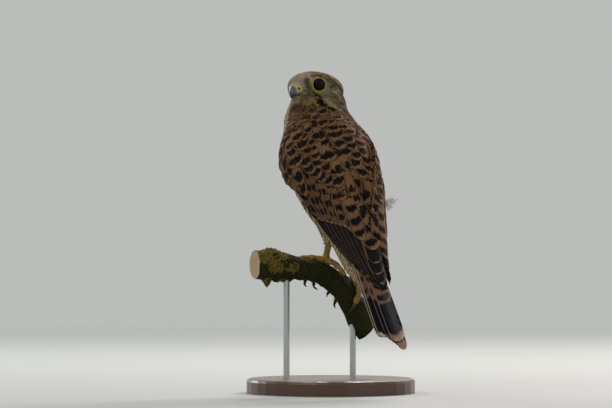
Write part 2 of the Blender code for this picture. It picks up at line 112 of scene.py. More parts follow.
class Finish:
    """A material as it is built: its Principled shader and short ways to add the nodes that feed it."""

    def __init__(self, name, **sockets):
        self.material = bpy.data.materials.new(name)
        self.material.use_nodes = True
        self.tree = self.material.node_tree
        self.shader = self.tree.nodes["Principled BSDF"]
        for socket, value in sockets.items():
            self.shader.inputs[socket.replace("_", " ")].default_value = value

    def add(self, kind, inputs=(), output=0, **settings):
        """One node with these settings and inputs, each a number, a colour or another node's output."""
        node = self.tree.nodes.new("ShaderNode" + kind)
        for setting, value in settings.items():
            setattr(node, setting, value)
        for socket, value in dict(inputs).items():
            if isinstance(value, bpy.types.NodeSocket):
                self.tree.links.new(value, node.inputs[socket])
            else:
                node.inputs[socket].default_value = value
        return node.outputs[output]

    def math(self, operation, a, b=0.0, c=0.0):
        return self.add("Math", {0: a, 1: b, 2: c}, operation=operation)

    def plus(self, a, b):
        return self.math("ADD", a, b)

    def times(self, a, b, more=None):
        """a times b, and more added to that where it is given."""
        if more is None:
            return self.math("MULTIPLY", a, b)
        return self.math("MULTIPLY_ADD", a, b, more)

    def band(self, value, low, high, start=0.0, end=1.0):
        """A smooth step from start to end as value goes from low to high."""
        sockets = {0: value, 1: low, 2: high, 3: start, 4: end}
        return self.add("MapRange", sockets, interpolation_type="SMOOTHSTEP")

    def mix(self, share, a, b):
        """From a to b as share goes from 0 to 1, each a colour of three numbers or a node's output."""
        a, b = ((*colour, 1) if isinstance(colour, tuple) else colour for colour in (a, b))
        return self.add("Mix", {0: share, 6: a, 7: b}, 2, data_type="RGBA")

    def parts(self, vector):
        """The three numbers of a vector."""
        return self.add("SeparateXYZ", {0: vector}).node.outputs

    def shade(self, colour, tone):
        """The colour times a tone near 1."""
        return self.add("VectorMath", {0: colour, 3: tone}, operation="SCALE")

    def place(self, scale=(1, 1, 1), shift=(0, 0, 0)):
        """The object's own coordinates in millimetres, stretched and moved."""
        source = self.add("TexCoord", output=3)
        sockets = {0: source, 1: shift, 3: tuple(k / MM for k in scale)}
        return self.add("Mapping", sockets)

    def grain(self, vector, scale, detail=3.0, roughness=0.5, distortion=0.0):
        sockets = {0: vector, 2: scale, 3: detail, 4: roughness, 8: distortion}
        return self.add("TexNoise", sockets)

    def read(self, attribute, output=0):
        """A colour stored in the mesh, or with output 1 a vector and with output 2 a number."""
        return self.add("Attribute", attribute_name=attribute, output=output)

    def feed(self, socket, value):
        self.tree.links.new(value, self.shader.inputs[socket])

    def bump(self, height, strength, distance):
        sockets = {"Height": height, "Strength": strength, "Distance": distance * MM}
        self.feed("Normal", self.add("Bump", sockets))


FLOOR_RADIUS = 2.6
FADE_START = 0.5  # inside this radius the floor is solid, and from here it fades into the room
bpy.ops.mesh.primitive_circle_add(vertices=96, radius=FLOOR_RADIUS, fill_type="NGON")
floor = bpy.context.object
floor.name = "floor"
pale_floor = Finish("pale_floor", Roughness=0.7)
floor_spot = pale_floor.add("VectorMath", {0: pale_floor.add("TexCoord", output=3)}, 1, operation="LENGTH")
mottle = pale_floor.grain(pale_floor.place((0.002, 0.002, 0.002)), 3.0)
pale_floor.feed("Base Color", pale_floor.mix(mottle, (0.30, 0.31, 0.30), (0.33, 0.34, 0.33)))
see_through = pale_floor.add("BsdfTransparent")
fading = pale_floor.band(floor_spot, FADE_START, FLOOR_RADIUS * 0.96)
both = pale_floor.add("MixShader", {0: fading, 1: pale_floor.shader.outputs[0], 2: see_through})
pale_floor.tree.links.new(both, pale_floor.tree.nodes["Material Output"].inputs[0])
floor.data.materials.append(pale_floor.material)
floor.select_set(False)


# The display stand
# A turned base of dark stained wood with two brushed steel rods that are glued into bores in the
# base and in the perch. Both keep the shape of their solids.

stained_wood = Finish("stained_wood", Roughness=0.42, Coat_Weight=0.25, Coat_Roughness=0.2)
wood_place = stained_wood.place((1.0, 0.16, 1.0), (60, 0, 12))
ring_sockets = {0: wood_place, 1: 0.16, 2: 5.0, 3: 2.0, 4: 0.4}
rings = stained_wood.add("TexWave", ring_sockets, 1, wave_type="RINGS", rings_direction="Y")
pores = stained_wood.grain(stained_wood.place((1.2, 0.05, 1.2)), 1.6, 4.0)
grain_share = stained_wood.times(pores, 0.5, stained_wood.times(rings, 0.5))
wood_colour = stained_wood.mix(grain_share, (0.030, 0.014, 0.007), (0.115, 0.052, 0.024))
stained_wood.feed("Base Color", wood_colour)
stained_wood.bump(grain_share, 0.25, 0.3)

brushed_steel = Finish("brushed_steel", Metallic=1.0)
brushing = brushed_steel.grain(brushed_steel.place((0.4, 0.4, 6.0)), 2.0, 4.0)
steel_colour = brushed_steel.mix(brushing, (0.42, 0.43, 0.44), (0.62, 0.63, 0.64))
brushed_steel.feed("Base Color", steel_colour)
brushed_steel.feed("Roughness", brushed_steel.band(brushing, 0.2, 0.8, 0.22, 0.40))
brushed_steel.bump(brushing, 0.15, 0.05)

STAND_FINISHES = {"stand_base": stained_wood, "stand_rod_1": brushed_steel, "stand_rod_2": brushed_steel}
for node, finish in STAND_FINISHES.items():
    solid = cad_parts[node]
    solid.data.materials.clear()
    solid.data.materials.append(finish.material)


# The perch
# A short cut length of dark, rough bough. Its bark is ridged along the grain, knotty, and crusted
# with yellow lichen on its level part. Its two ends are sawn and show the wood.

TRUNK_CENTRE = Vector((4.0, 0.0, 208.0)) * MM
PERCH_TURN = 0.4  # it runs this much away from the camera for each millimetre to the right
PERCH_PATH = (  # right of the trunk's centre, height over it, radius, all in millimetres
    (-76, -86, 13.4),
    (-62, -85.5, 13.8),
    (-47.5, -87.4, 11.9),
    (-33.3, -89.8, 10.7),
    (-18, -93.2, 10.2),
    (-6, -98.2, 10.6),
    (4, -106.8, 10.9),
    (12, -117.5, 11.3),
    (24, -136, 12.0),
    (31, -148, 12.4),
)
PERCH_RINGS, PERCH_SIDES = 170, 84
LICHEN_SPOTS = (  # right of the trunk's centre, degrees round the perch, radius
    (-72, -50, 10), (-64, 10, 12), (-60, -95, 9), (-53, -35, 8), (-47, 5, 5), (-44, -100, 6),
    (-60, 80, 9), (-66, 170, 8), (-50, 180, 6), (-42, 40, 4), (-40, -75, 3),
)
KNOBS = (  # lumps of crusted bark: the same two places, height, radius
    (-63, 172, 5.0, 5.0), (-54, 188, 3.4, 4.6), (-47, 176, 3.0, 4.0), (-42, 186, 1.8, 3.0),
    (-62, -12, 2.4, 4.5), (-70, -80, 1.6, 4.0), (-52, -60, 1.2, 3.5), (-58, 60, 1.5, 4.0),
    (24, 150, 1.5, 5.0),
)


def smooth(stations, at):
    """The numbers at this key of a smooth curve through stations of (key, number, ...), keys rising."""
    last = len(stations) - 2
    i = next((k for k in range(last + 1) if at <= stations[k + 1][0]), last)
    low, high = stations[i], stations[i + 1]
    before, after = stations[max(i - 1, 0)], stations[min(i + 2, last + 1)]
    span = high[0] - low[0]
    t = min(max((at - low[0]) / span, 0.0), 1.0)
    found = []
    for k in range(1, len(low)):
        rise_low = (high[k] - before[k]) / (high[0] - before[0]) * span
        rise_high = (after[k] - low[k]) / (after[0] - low[0]) * span
        found.append(
            (2 * t**3 - 3 * t**2 + 1) * low[k]
            + (t**3 - 2 * t**2 + t) * rise_low
            + (3 * t**2 - 2 * t**3) * high[k]
            + (t**3 - t**2) * rise_high
        )
    return found


def spread(low, high, count):
    """This many numbers at even steps from low to high."""
    return [low + (high - low) * i / (count - 1) for i in range(count)]


def turns(count, start=0.0):
    """The angles of this many even steps of a whole turn. start is a share of one step."""
    return [math.tau * (i + start) / count for i in range(count)]


def swung(first, second, angle):
    """The direction first, swung towards second by this angle."""
    return first * math.cos(angle) + second * math.sin(angle)


def uneven(*place):
    """A number near 0 that wanders from place to place, always the same at the same place."""
    return noise.noise(Vector(place))


def perch_centre(right):
    height = smooth(PERCH_PATH, right)[0]
    return TRUNK_CENTRE + Vector((right, 1 + PERCH_TURN * right, height)) * MM


def perch_frame(right):
    """The perch's directions along, up and to its far side."""
    along = (perch_centre(right + 0.5) - perch_centre(right - 0.5)).normalized()
    far = Vector((0, 0, 1)).cross(along).normalized()
    return along, along.cross(far), far


def on_perch(right, turn, off):
    """The point off the bark, turn degrees round the perch from its top towards its far side."""
    _, up, far = perch_frame(right)
    reach = (smooth(PERCH_PATH, right)[1] + off) * MM
    return perch_centre(right) + swung(up, far, math.radians(turn)) * reach


def linked(name, mesh):
    made = bpy.data.objects.new(name, mesh)
    bpy.context.collection.objects.link(made)
    return made


def turn_outwards(mesh):
    bm = bmesh.new()
    bm.from_mesh(mesh)
    bmesh.ops.recalc_face_normals(bm, faces=bm.faces)
    bm.to_mesh(mesh)
    bm.free()


def store(mesh, name, values):
    """Keeps one number for each point of the mesh, for its finish to read."""
    mesh.attributes.new(name, "FLOAT", "POINT").data.foreach_set("value", values)


def solid_of(name, points, faces, *finishes):
    """A new object with this mesh, its faces turned outwards and shaded smooth."""
    mesh = bpy.data.meshes.new(name)
    mesh.from_pydata([tuple(p) for p in points], [], faces)
    made = linked(name, mesh)
    turn_outwards(mesh)
    mesh.shade_smooth()
    for finish in finishes:
        mesh.materials.append(finish.material)
    return made


def ring_faces(points, sides, first=0):
    """The quads between rings of as many sides each, and the two end faces, counted from first."""
    faces = []
    last = first + len(points) - sides
    for ring in range(first, last, sides):
        for i in range(sides):
            j = (i + 1) % sides
            faces.append((ring + i, ring + j, ring + sides + j, ring + sides + i))
    faces.append(tuple(range(first, first + sides)))
    faces.append(tuple(range(last, last + sides)))
    return faces


def lofted(name, points, sides, *finishes):
    """A closed solid whose skin runs from ring to ring of these points."""
    return solid_of(name, points, ring_faces(points, sides), *finishes)


def round_bark(turn, spot_turn, radius):
    """How far round the bark a spot is from here, in millimetres."""
    return math.radians((turn - spot_turn + 180) % 360 - 180) * radius


def lichen_share(right, turn):
    """How much lichen covers the bark here, 0 to 1, with ragged lobes."""
    radius = smooth(PERCH_PATH, right)[1]
    share = 0.0
    for spot_right, spot_turn, size in LICHEN_SPOTS:
        aside = round_bark(turn, spot_turn, radius)
        reach = math.hypot(right - spot_right, aside)
        ragged = uneven(right * 0.35, aside * 0.35, spot_turn) * 5.5
        share = max(share, min(1.0, max(0.0, (size - reach + ragged) / 2.2)))
    return share


def knob_height(right, turn):
    """How far the knobs raise the bark here, in millimetres."""
    radius = smooth(PERCH_PATH, right)[1]
    height = 0.0
    for knob_right, knob_turn, rise, size in KNOBS:
        reach = math.hypot(right - knob_right, round_bark(turn, knob_turn, radius)) / size
        height = max(height, rise * math.exp(-(reach**2.6)))
    return height


perch_points, perch_lichen = [], []
for right in spread(PERCH_PATH[0][0], PERCH_PATH[-1][0], PERCH_RINGS):
    for i in range(PERCH_SIDES):
        turn = 360 * i / PERCH_SIDES
        angle = math.radians(turn)
        spot = Vector((math.cos(angle), math.sin(angle), 0))
        knots = 0.35 * math.sin(3 * angle + right * 0.21) + 0.25 * math.sin(right * 0.55)
        ridges = uneven(spot.x * 4.2, spot.y * 4.2, right * 0.07)
        plates = abs(uneven(spot.x * 8.5, spot.y * 8.5, right * 0.16 + 7))
        crumbs = uneven(spot.x * 14, spot.y * 14, right * 1.1)
        crust = lichen_share(right, turn)
        lobes = 0.35 + 0.65 * abs(uneven(spot.x * 9, spot.y * 9, right * 0.75) * 2)
        off = knots + ridges * 0.9 - plates * 1.1 + crumbs * (0.35 + 0.5 * crust)
        off += crust * lobes * 1.1 - 0.1
        off += knob_height(right, turn) * (0.75 + 0.5 * lobes)
        perch_points.append(on_perch(right, turn, off))
        perch_lichen.append(crust * (0.55 + 0.45 * lobes))

bark = Finish("bark", Roughness=0.9, Specular_IOR_Level=0.15)
bark_place = bark.place()
fissures = bark.add("TexVoronoi", {0: bark_place, 2: 0.42}, feature="DISTANCE_TO_EDGE")
bark_grain = bark.grain(bark_place, 0.5, 6.0, 0.65, 0.6)
moss = bark.grain(bark_place, 0.12, 3.0)
bark_colour = bark.mix(bark.band(bark_grain, 0.3, 0.7), (0.005, 0.006, 0.002), (0.034, 0.034, 0.008))
bark_colour = bark.mix(bark.band(moss, 0.48, 0.62, 0, 0.55), bark_colour, (0.016, 0.024, 0.003))
lichen_grain = bark.grain(bark_place, 0.9, 4.0, 0.6)
lichen_patches = bark.grain(bark_place, 0.22, 2.0)
lichen_rust = bark.band(lichen_patches, 0.42, 0.60)
lichen_dark = bark.mix(lichen_rust, (0.036, 0.038, 0.006), (0.060, 0.034, 0.006))
lichen_light = bark.mix(lichen_rust, (0.155, 0.135, 0.024), (0.20, 0.115, 0.018))
lichen_colour = bark.mix(bark.band(lichen_grain, 0.38, 0.62), lichen_dark, lichen_light)
lichen_cover = bark.band(bark.times(bark_grain, 0.5, bark.read("lichen", 2)), 0.55, 0.8)
bark.feed("Base Color", bark.mix(lichen_cover, bark_colour, lichen_colour))
bark_height = bark.times(bark.band(fissures, 0.0, 0.35), 0.5, bark_grain)
bark.bump(bark_height, 0.8, 0.8)


def grained(name, scale, detail, dark, light, strength, distance, **sockets):
    """A finish that goes from dark to light with one fine grain, which roughens it too."""
    made = Finish(name, **sockets)
    fine_grain = made.grain(made.place(), scale, detail)
    made.feed("Base Color", made.mix(fine_grain, dark, light))
    made.bump(fine_grain, strength, distance)
    return made


sawn_wood = grained("sawn_wood", 0.35, 5.0, (0.20, 0.13, 0.065), (0.40, 0.28, 0.15), 0.4, 0.3, Roughness=0.8)
perch = lofted("perch_bark", perch_points, PERCH_SIDES, bark, sawn_wood)
store(perch.data, "lichen", perch_lichen)
for end in list(perch.data.polygons)[-2:]:
    end.material_index = 1
    end.use_smooth = False
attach(perch, "root")
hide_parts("perch")


# The skin
# One closed skin over head, neck, trunk, wings, thighs and the root of the tail, drawn in from the
# outline by the depth of the coat. It is soft and thin, and shows only between the feathers.

SKIN_STEP = 1.1 * MM  # of its mesh
FLESH = ("head", "neck", "trunk", "thigh_left", "thigh_right")
WING_FLESH_END = -60.0  # along the spine; past here a wing is quills only
WING_SLIP_BACK, WING_SLIP_IN = -9.0, 2.0  # the right wing against the left one's mirror image
TAIL_FLESH_END = -116.0
COAT_DEPTH = 2.0
FACE_COAT_DEPTH = 0.9
HEAD_BOTTOM = 262.0  # the head's coat begins at this height


def turned(heading):
    """The level directions forwards and left of something that faces heading degrees left of +Y."""
    h = math.radians(heading)
    return Vector((-math.sin(h), math.cos(h), 0)), Vector((-math.cos(h), -math.sin(h), 0))


def pitched(forwards, pitch):
    """Forwards and up, once forwards is raised by pitch degrees."""
    angle = math.radians(pitch)
    up = Vector((0, 0, 1))
    return swung(forwards, up, angle), swung(up, -forwards, angle)


BODY_LEVEL, LEFT = turned(37.0)
SPINE, DORSAL = pitched(BODY_LEVEL, 63.0)
HEAD_LEVEL, HEAD_LEFT = turned(137.0)
HEAD_FRONT, HEAD_UP = pitched(HEAD_LEVEL, -5.0)
HEAD_CENTRE = TRUNK_CENTRE + Vector((-23.8, 18.0, 85.4)) * MM


def in_body(along, left, up):
    return TRUNK_CENTRE + (SPINE * along + LEFT * left + DORSAL * up) * MM


def in_head(front, left, up):
    return HEAD_CENTRE + (HEAD_FRONT * front + HEAD_LEFT * left + HEAD_UP * up) * MM


def body_place(point):
    """Along the spine, left and up from the back, in millimetres."""
    off = (point - TRUNK_CENTRE) / MM
    return off.dot(SPINE), off.dot(LEFT), off.dot(DORSAL)


def head_place(point):
    """Forwards, left and up in the head, in millimetres."""
    off = (point - HEAD_CENTRE) / MM
    return off.dot(HEAD_FRONT), off.dot(HEAD_LEFT), off.dot(HEAD_UP)


def bulk(name, cuts, mesh_step, growth=0.35 * MM, rounds=6):
    """One closed, even mesh over these nodes. cuts says how far down the spine each is kept."""
    whole = bmesh.new()
    for node, lowest in cuts.items():
        part = bmesh.new()
        part.from_mesh(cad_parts[node].data)
        bmesh.ops.remove_doubles(part, verts=part.verts, dist=0.01 * MM)
        if lowest is not None:
            geometry = part.verts[:] + part.edges[:] + part.faces[:]
            cut = in_body(lowest, 0, 0)
            bmesh.ops.bisect_plane(part, geom=geometry, plane_co=cut, plane_no=-SPINE, clear_outer=True)
            rim = [edge for edge in part.edges if edge.is_boundary]
            filled = bmesh.ops.edgeloop_fill(part, edges=rim)
            bmesh.ops.triangulate(part, faces=filled["faces"])
        bmesh.ops.recalc_face_normals(part, faces=part.faces)
        part.normal_update()
        shifts = [vert.normal * growth for vert in part.verts]
        for vert, shift in zip(part.verts, shifts):
            vert.co += shift
        carried = bpy.data.meshes.new("carried")
        part.to_mesh(carried)
        part.free()
        whole.from_mesh(carried)
        bpy.data.meshes.remove(carried)
    mesh = bpy.data.meshes.new(name)
    whole.to_mesh(mesh)
    whole.free()
    made = linked(name, mesh)
    bpy.context.view_layer.objects.active = made
    made.select_set(True)
    mesh.remesh_voxel_size = mesh_step
    bpy.ops.object.voxel_remesh()
    eased = made.modifiers.new("ease", "SMOOTH")
    eased.factor = 0.6
    eased.iterations = rounds
    bpy.ops.object.modifier_apply(modifier="ease")
    made.select_set(False)
    return made


def arrays_of(mesh):
    """The mesh's points and its points' normals, as arrays."""
    points = np.empty(len(mesh.vertices) * 3, np.float32)
    mesh.vertices.foreach_get("co", points)
    normals = np.empty(len(mesh.vertices) * 3, np.float32)
    mesh.vertex_normals.foreach_get("vector", normals)
    return points.reshape(-1, 3).astype(float), normals.reshape(-1, 3).astype(float)


def surface_of(shape):
    """The object as a surface to cast rays on and lay feathers on. The object itself goes."""
    points = [vert.co.copy() for vert in shape.data.vertices]
    surface = BVHTree.FromPolygons(points, [tuple(face.vertices) for face in shape.data.polygons])
    bpy.data.objects.remove(shape)
    return surface


CLOSING = 1.8 * MM  # crevices up to twice this wide are closed over
feathered = dict.fromkeys(FLESH + ("tail", "wing_left", "wing_right"))
outline = bulk("outline", feathered, SKIN_STEP, CLOSING, 10)
outline_points, outline_normals = arrays_of(outline.data)
outline_points -= outline_normals * CLOSING
outline.data.vertices.foreach_set("co", outline_points.astype(np.float32).ravel())
outline.data.update()
envelope = surface_of(outline)

kept = dict.fromkeys(FLESH)
kept.update({
    "wing_left": WING_FLESH_END,
    "wing_right": WING_FLESH_END + WING_SLIP_BACK,
    "tail": TAIL_FLESH_END,
})
skin = bulk("skin", kept, SKIN_STEP)


def face_nearness(point):
    """1 at the bill and eyes, 0 away from them, where the coat is at its full depth."""
    front, left, up = head_place(point)
    bill = math.hypot(front - 19, left, up + 6)
    eye = math.hypot(front - 3, abs(left) - 15, up)
    return max(0.0, 1 - min(bill, eye) / 16)


_, skin_normals = arrays_of(skin.data)
for i, vert in enumerate(skin.data.vertices):
    head_share = min(1.0, max(0.0, (vert.co.z / MM - HEAD_BOTTOM) / 20))
    depth = COAT_DEPTH + (FACE_COAT_DEPTH - COAT_DEPTH) * head_share
    depth *= 1 - 0.75 * face_nearness(vert.co)
    vert.co -= Vector(skin_normals[i]) * depth * MM


# The plumage's markings, shared by the skin and by the coat over it, with painted light and shade among them:
# the brow's painted shadow above the eye and painted rim light on the throat's far side. Each mark of the
# head is a line through pixels of the photograph that are carried to the left side of the head.

RUFOUS = (0.140, 0.066, 0.030)
RUFOUS_PALE = (0.195, 0.112, 0.056)
CROWN_BROWN = (0.130, 0.072, 0.036)
DARK_BAR = (0.007, 0.006, 0.007)
BUFF = (0.28, 0.20, 0.115)
CREAM = (0.54, 0.45, 0.31)
TROUSER_BUFF = (0.33, 0.26, 0.135)
THROAT_BUFF = (0.33, 0.235, 0.090)
BROWN_STREAK = (0.042, 0.025, 0.015)
LORE_BROWN = (0.105, 0.075, 0.040)
FOREHEAD_GREY = (0.37, 0.315, 0.235)
CHEEK_GREY = (0.135, 0.108, 0.060)
BLACK_MARKS_AND_BROW_SHADE = (0.010, 0.008, 0.007)
BROWN_BLACK = (0.020, 0.013, 0.009)
CHEEK_PALE = (0.32, 0.27, 0.17)
QUILL_BLACK = (0.011, 0.010, 0.010)
QUILL_EDGE = (0.27, 0.20, 0.125)


def seen(column, row, surface=None):
    """The place on the bird's outline that this pixel of the photograph shows, and the outward normal."""
    place, normal, _, _ = (surface or envelope).ray_cast(CAMERA_PLACE, sight(column, row))
    return place, normal


HEAD_MARKS = (  # colour, half width, softness, pixels
    # The first line, above the eye, is dark feathers with the brow ridge's shadow painted over them.
    (BLACK_MARKS_AND_BROW_SHADE, 1.0, 0.7, ((309.5, 76.9), (313.0, 76.0), (318.0, 75.2), (324.0, 75.8), (328.0, 78.6))),
    (BROWN_BLACK, 1.7, 2.2, ((327.6, 79.4), (333.0, 83.4), (337.5, 88.2), (340.8, 95.0))),
    (CHEEK_PALE, 1.4, 1.8, ((322.5, 96.8), (327.0, 99.8), (332.0, 103.0), (336.5, 106.2))),
    (BROWN_BLACK, 0.8, 0.8, (
        (289.5, 112.0), (293.0, 107.6), (297.5, 104.8), (304.0, 104.0), (312.0, 104.4), (318.0, 105.4),
    )),
    (BLACK_MARKS_AND_BROW_SHADE, 1.2, 0.9, ((312.2, 91.5), (315.0, 93.8), (318.5, 95.6))),
    (BLACK_MARKS_AND_BROW_SHADE, 2.6, 1.4, ((317.4, 98.8), (320.0, 101.6))),
    (BLACK_MARKS_AND_BROW_SHADE, 1.6, 1.2, ((320.0, 101.4), (325.0, 103.2), (331.5, 106.8))),
    (LORE_BROWN, 2.6, 2.2, ((305.6, 80.0), (306.2, 84.0), (308.5, 88.0))),
)
MARK_LINES = [  # the same with each pixel as a place in the head
    (colour, half, soft, [Vector(head_place(seen(*pixel)[0])) for pixel in pixels])
    for colour, half, soft, pixels in HEAD_MARKS
]


def line_distance(point, line):
    """From point to the nearest place on the line, all in millimetres."""
    nearest = 1e9
    for start, end in zip(line, line[1:]):
        span = end - start
        share = min(1.0, max(0.0, (point - start).dot(span) / span.length_squared))
        nearest = min(nearest, (start + span * share - point).length)
    return nearest


def step(value, low, high):
    """A smooth step from 0 to 1 as value goes from low to high."""
    share = min(1.0, max(0.0, (value - low) / (high - low)))
    return share * share * (3 - 2 * share)


def blend(a, b, share):
    """The colour at this share of the way from a to b."""
    return tuple(x + (y - x) * share for x, y in zip(a, b))


def head_colour(point):
    """The ground colour of the plumage at a place on the head, with painted rim light on the throat's far
    side.
    """
    front, left, up = head_place(point)
    side = abs(left)
    crown = step(up + max(0.0, -front) * 0.28 - side * 0.16, 2.0, 6.0)
    forehead = step(front, 5.0, 13.0) * step(up, -5.0, 0.0)
    throat = step(-up, 8.5, 13.0)
    colour = blend(CHEEK_GREY, CROWN_BROWN, crown)
    colour = blend(colour, RUFOUS, step(-front, 14.0, 26.0) * 0.7)
    # The throat is buff; on its far side it is painted paler cream: painted rim light.
    below = blend(THROAT_BUFF, CREAM, 0.75 * step(-left, -5, 4))
    colour = blend(colour, below, throat * step(front + 6, 0.0, 12.0))
    return blend(colour, FOREHEAD_GREY, forehead)


def marked(colour, point):
    """The colour with the head's marks over it, and how much of a mark is here, 0 to 1."""
    front, left, up = head_place(point)
    here = Vector((front, abs(left), up))
    most = 0.0
    for mark, half, soft, line in MARK_LINES:
        share = 1 - step(line_distance(here, line), half - soft / 2, half + soft / 2)
        colour = blend(colour, mark, share)
        most = max(most, share)
    return colour, most


def body_angle(point):
    """Degrees round the spine from the back's middle, 180 at the middle of the breast."""
    _, left, up = body_place(point)
    return math.degrees(math.atan2(abs(left), up))


def breast_share(point):
    """0 on the back and wings, 1 on the breast, belly and throat."""
    along, _, _ = body_place(point)
    edge = 96.0 + 18 * step(along, -30, 20) - 26 * step(along, 45, 75)
    ragged = 14 * noise.noise(point * 260) * step(along, 20, 45)
    return step(body_angle(point) + ragged, edge - 3, edge + 5)


def ground_colour(point):
    """The ground colour of the plumage anywhere on the bird, with the painted light and shade of the head."""
    along, left, _ = body_place(point)
    back = blend(RUFOUS, RUFOUS_PALE, 0.35 + 0.5 * noise.noise(point * 90))
    belly = blend(CREAM, TROUSER_BUFF, step(-along, 5, 40))
    belly = blend(BUFF, belly, 0.5 + 0.5 * step(-along, 20, 60))
    colour = blend(back, belly, breast_share(point))
    on_head = step(point.z / MM, 268 + 0.15 * left, 278 + 0.15 * left)
    if not on_head:
        return colour
    return marked(blend(colour, head_colour(point), on_head), point)[0]


def paint(mesh, name, colours):
    """Stores one colour for each point of the mesh."""
    layer = mesh.attributes.new(name, "FLOAT_COLOR", "POINT")
    values = np.ones((len(mesh.vertices), 4), np.float32)
    values[:, :3] = colours
    layer.data.foreach_set("color", values.ravel())


paint(skin.data, "ground", [ground_colour(v.co) for v in skin.data.vertices])
skin.data.shade_smooth()
down_skin = Finish("down_skin", Roughness=0.85)
down_grain = down_skin.grain(down_skin.place(), 0.35, 4.0)
fine_down = down_skin.grain(down_skin.place(), 2.6, 3.0)
# The down is darker in patches where a coarse noise is low.
dark_noise_patches = down_skin.band(down_grain, 0.35, 0.62, 0.3, 0)
down_flecks = down_skin.band(fine_down, 0.4, 0.8, 0, 0.3)
down_colour = down_skin.mix(dark_noise_patches, down_skin.read("ground"), DARK_BAR)
down_skin.feed("Base Color", down_skin.mix(down_flecks, down_colour, BROWN_STREAK))
down_skin.bump(fine_down, 0.5, 0.4)
skin.data.materials.append(down_skin.material)
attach(skin, "root")
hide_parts(*FLESH, "wing_left", "wing_right")


# The feather, as it is made again and again for the coat
# A vane is a thin closed leaf with a raised shaft, arched across, narrow at its root and round at
# its tip. It lies along the surface, its root under the feathers before it and its tip over the next.

# Share of the length and breadth as a share of the width, row by row from the root.
VANE_SHAPE = ((0.0, 0.30), (0.28, 0.82), (0.52, 1.0), (0.72, 0.98), (0.87, 0.80), (0.96, 0.50), (1.0, 0.16))
TUFT_SHAPE = ((0.0, 0.5), (0.4, 1.0), (0.75, 0.8), (1.0, 0.12))
HOLLOW_TURN = 0.6  # an edge whose surface is turned more than this from the middle's is across a hollow


def hugging(surface, point):
    """The nearest place on the surface and its outward normal."""
    place, normal, _, _ = surface.find_nearest(point)
    return place, normal


def lay_vane(root, lie, length, width, lifts, shape):
    """Rows of (left edge, middle, right edge, normal) of a vane on the bird's outline, root to tip."""
    place, normal = hugging(envelope, root)
    heading = (lie - normal * lie.dot(normal)).normalized()
    laid, done = [], 0.0
    for share, breadth in shape:
        stride = (share - done) * length
        done = share
        if stride:
            place, normal_here = hugging(envelope, place + heading * stride + normal * 0.5 * MM)
            normal = (normal * 0.4 + normal_here * 0.6).normalized()
            heading = (heading - normal * heading.dot(normal)).normalized()
        side = normal.cross(heading)
        lift = lifts[0] + (lifts[1] - lifts[0]) * share
        half = width * breadth / 2
        edges = []
        for way in (-1, 1):
            edge, edge_normal = hugging(envelope, place + side * way * half + normal * 0.3 * MM)
            if edge_normal.dot(normal) < HOLLOW_TURN and (edge - place).dot(normal) > 0:
                edge, edge_normal = hugging(envelope, place + side * way * half * 0.4)
            edges.append(edge + edge_normal * lift)
        laid.append((edges[0], place + normal * lift, edges[1], normal))
    return laid


def vane_arrays(vanes, fine, arch, thick):
    """Points of all vanes: for each row left edge, top points, right edge and underside."""
    rows = np.array([[[tuple(p) for p in row] for row in vane["rows"]] for vane in vanes])
    left, middle, right, normal = (rows[:, :, k] for k in range(4))
    rise = normal * arch
    top = [middle + rise]
    if fine:
        top.insert(0, left * 0.5 + middle * 0.5 + rise * 0.75)
        top.append(middle * 0.5 + right * 0.5 + rise * 0.75)
    under = middle + rise - normal * thick
    return np.stack([left, *top, right, under], axis=2)


def map_corners(mesh, name, spots):
    """A UV map that puts each point's corners at its own spot."""
    corners = np.empty(len(mesh.loops), np.int32)
    mesh.loops.foreach_get("vertex_index", corners)
    spots = spots.reshape(-1, 2)[corners].astype(np.float32)
    mesh.uv_layers.new(name=name).data.foreach_set("uv", spots.ravel())


def feather_piece(name, vanes, unwrap, patch, finish, fine=True, arch=0.35 * MM, thick=0.22 * MM):
    """One joined mesh of all these vanes, with their colours, their own maps and the map for export."""
    points = vane_arrays(vanes, fine, arch, thick)
    count, rows, columns, _ = points.shape
    each = rows * columns
    faces = []
    for first in range(0, count * each, each):
        faces += ring_faces(range(each), columns, first)
    mesh = bpy.data.meshes.new(name)
    mesh.from_pydata(points.reshape(-1, 3).tolist(), [], faces)
    turn_outwards(mesh)
    across = np.array([0.0, 0.25, 0.5, 0.75, 1.0, 0.5] if fine else [0.0, 0.5, 1.0, 0.5])
    shares = np.array(vanes[0]["shares"])
    u = np.broadcast_to(across[None, None], (count, rows, columns))
    v = np.broadcast_to(shares[None, :, None], (count, rows, columns))
    own = np.stack([u, v], -1)
    map_corners(mesh, "vane", own)
    centres = np.array([unwrap(vane["root"]) for vane in vanes])
    low, high = centres.min(0), centres.max(0)
    centres = patch + (centres - low) / np.maximum(high - low, 1e-6) * (1 - 2 * patch)
    map_corners(mesh, "OFBake", centres[:, None, None, :] + (own - 0.5) * patch)
    mesh.uv_layers["OFBake"].active_render = False
    mesh.uv_layers["vane"].active_render = True
    for layer in ("ground", "mark", "rim"):
        paint(mesh, layer, np.repeat(np.array([vane[layer] for vane in vanes]), each, axis=0))
    for layer in ("bars", "lines"):
        held = mesh.attributes.new(layer, "FLOAT_VECTOR", "POINT")
        values = np.repeat(np.array([vane[layer] for vane in vanes], np.float32), each, axis=0)
        held.data.foreach_set("vector", values.ravel())
    mesh.shade_smooth()
    made = linked(name, mesh)
    mesh.materials.append(finish.material)
    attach(made, "root")
    return made


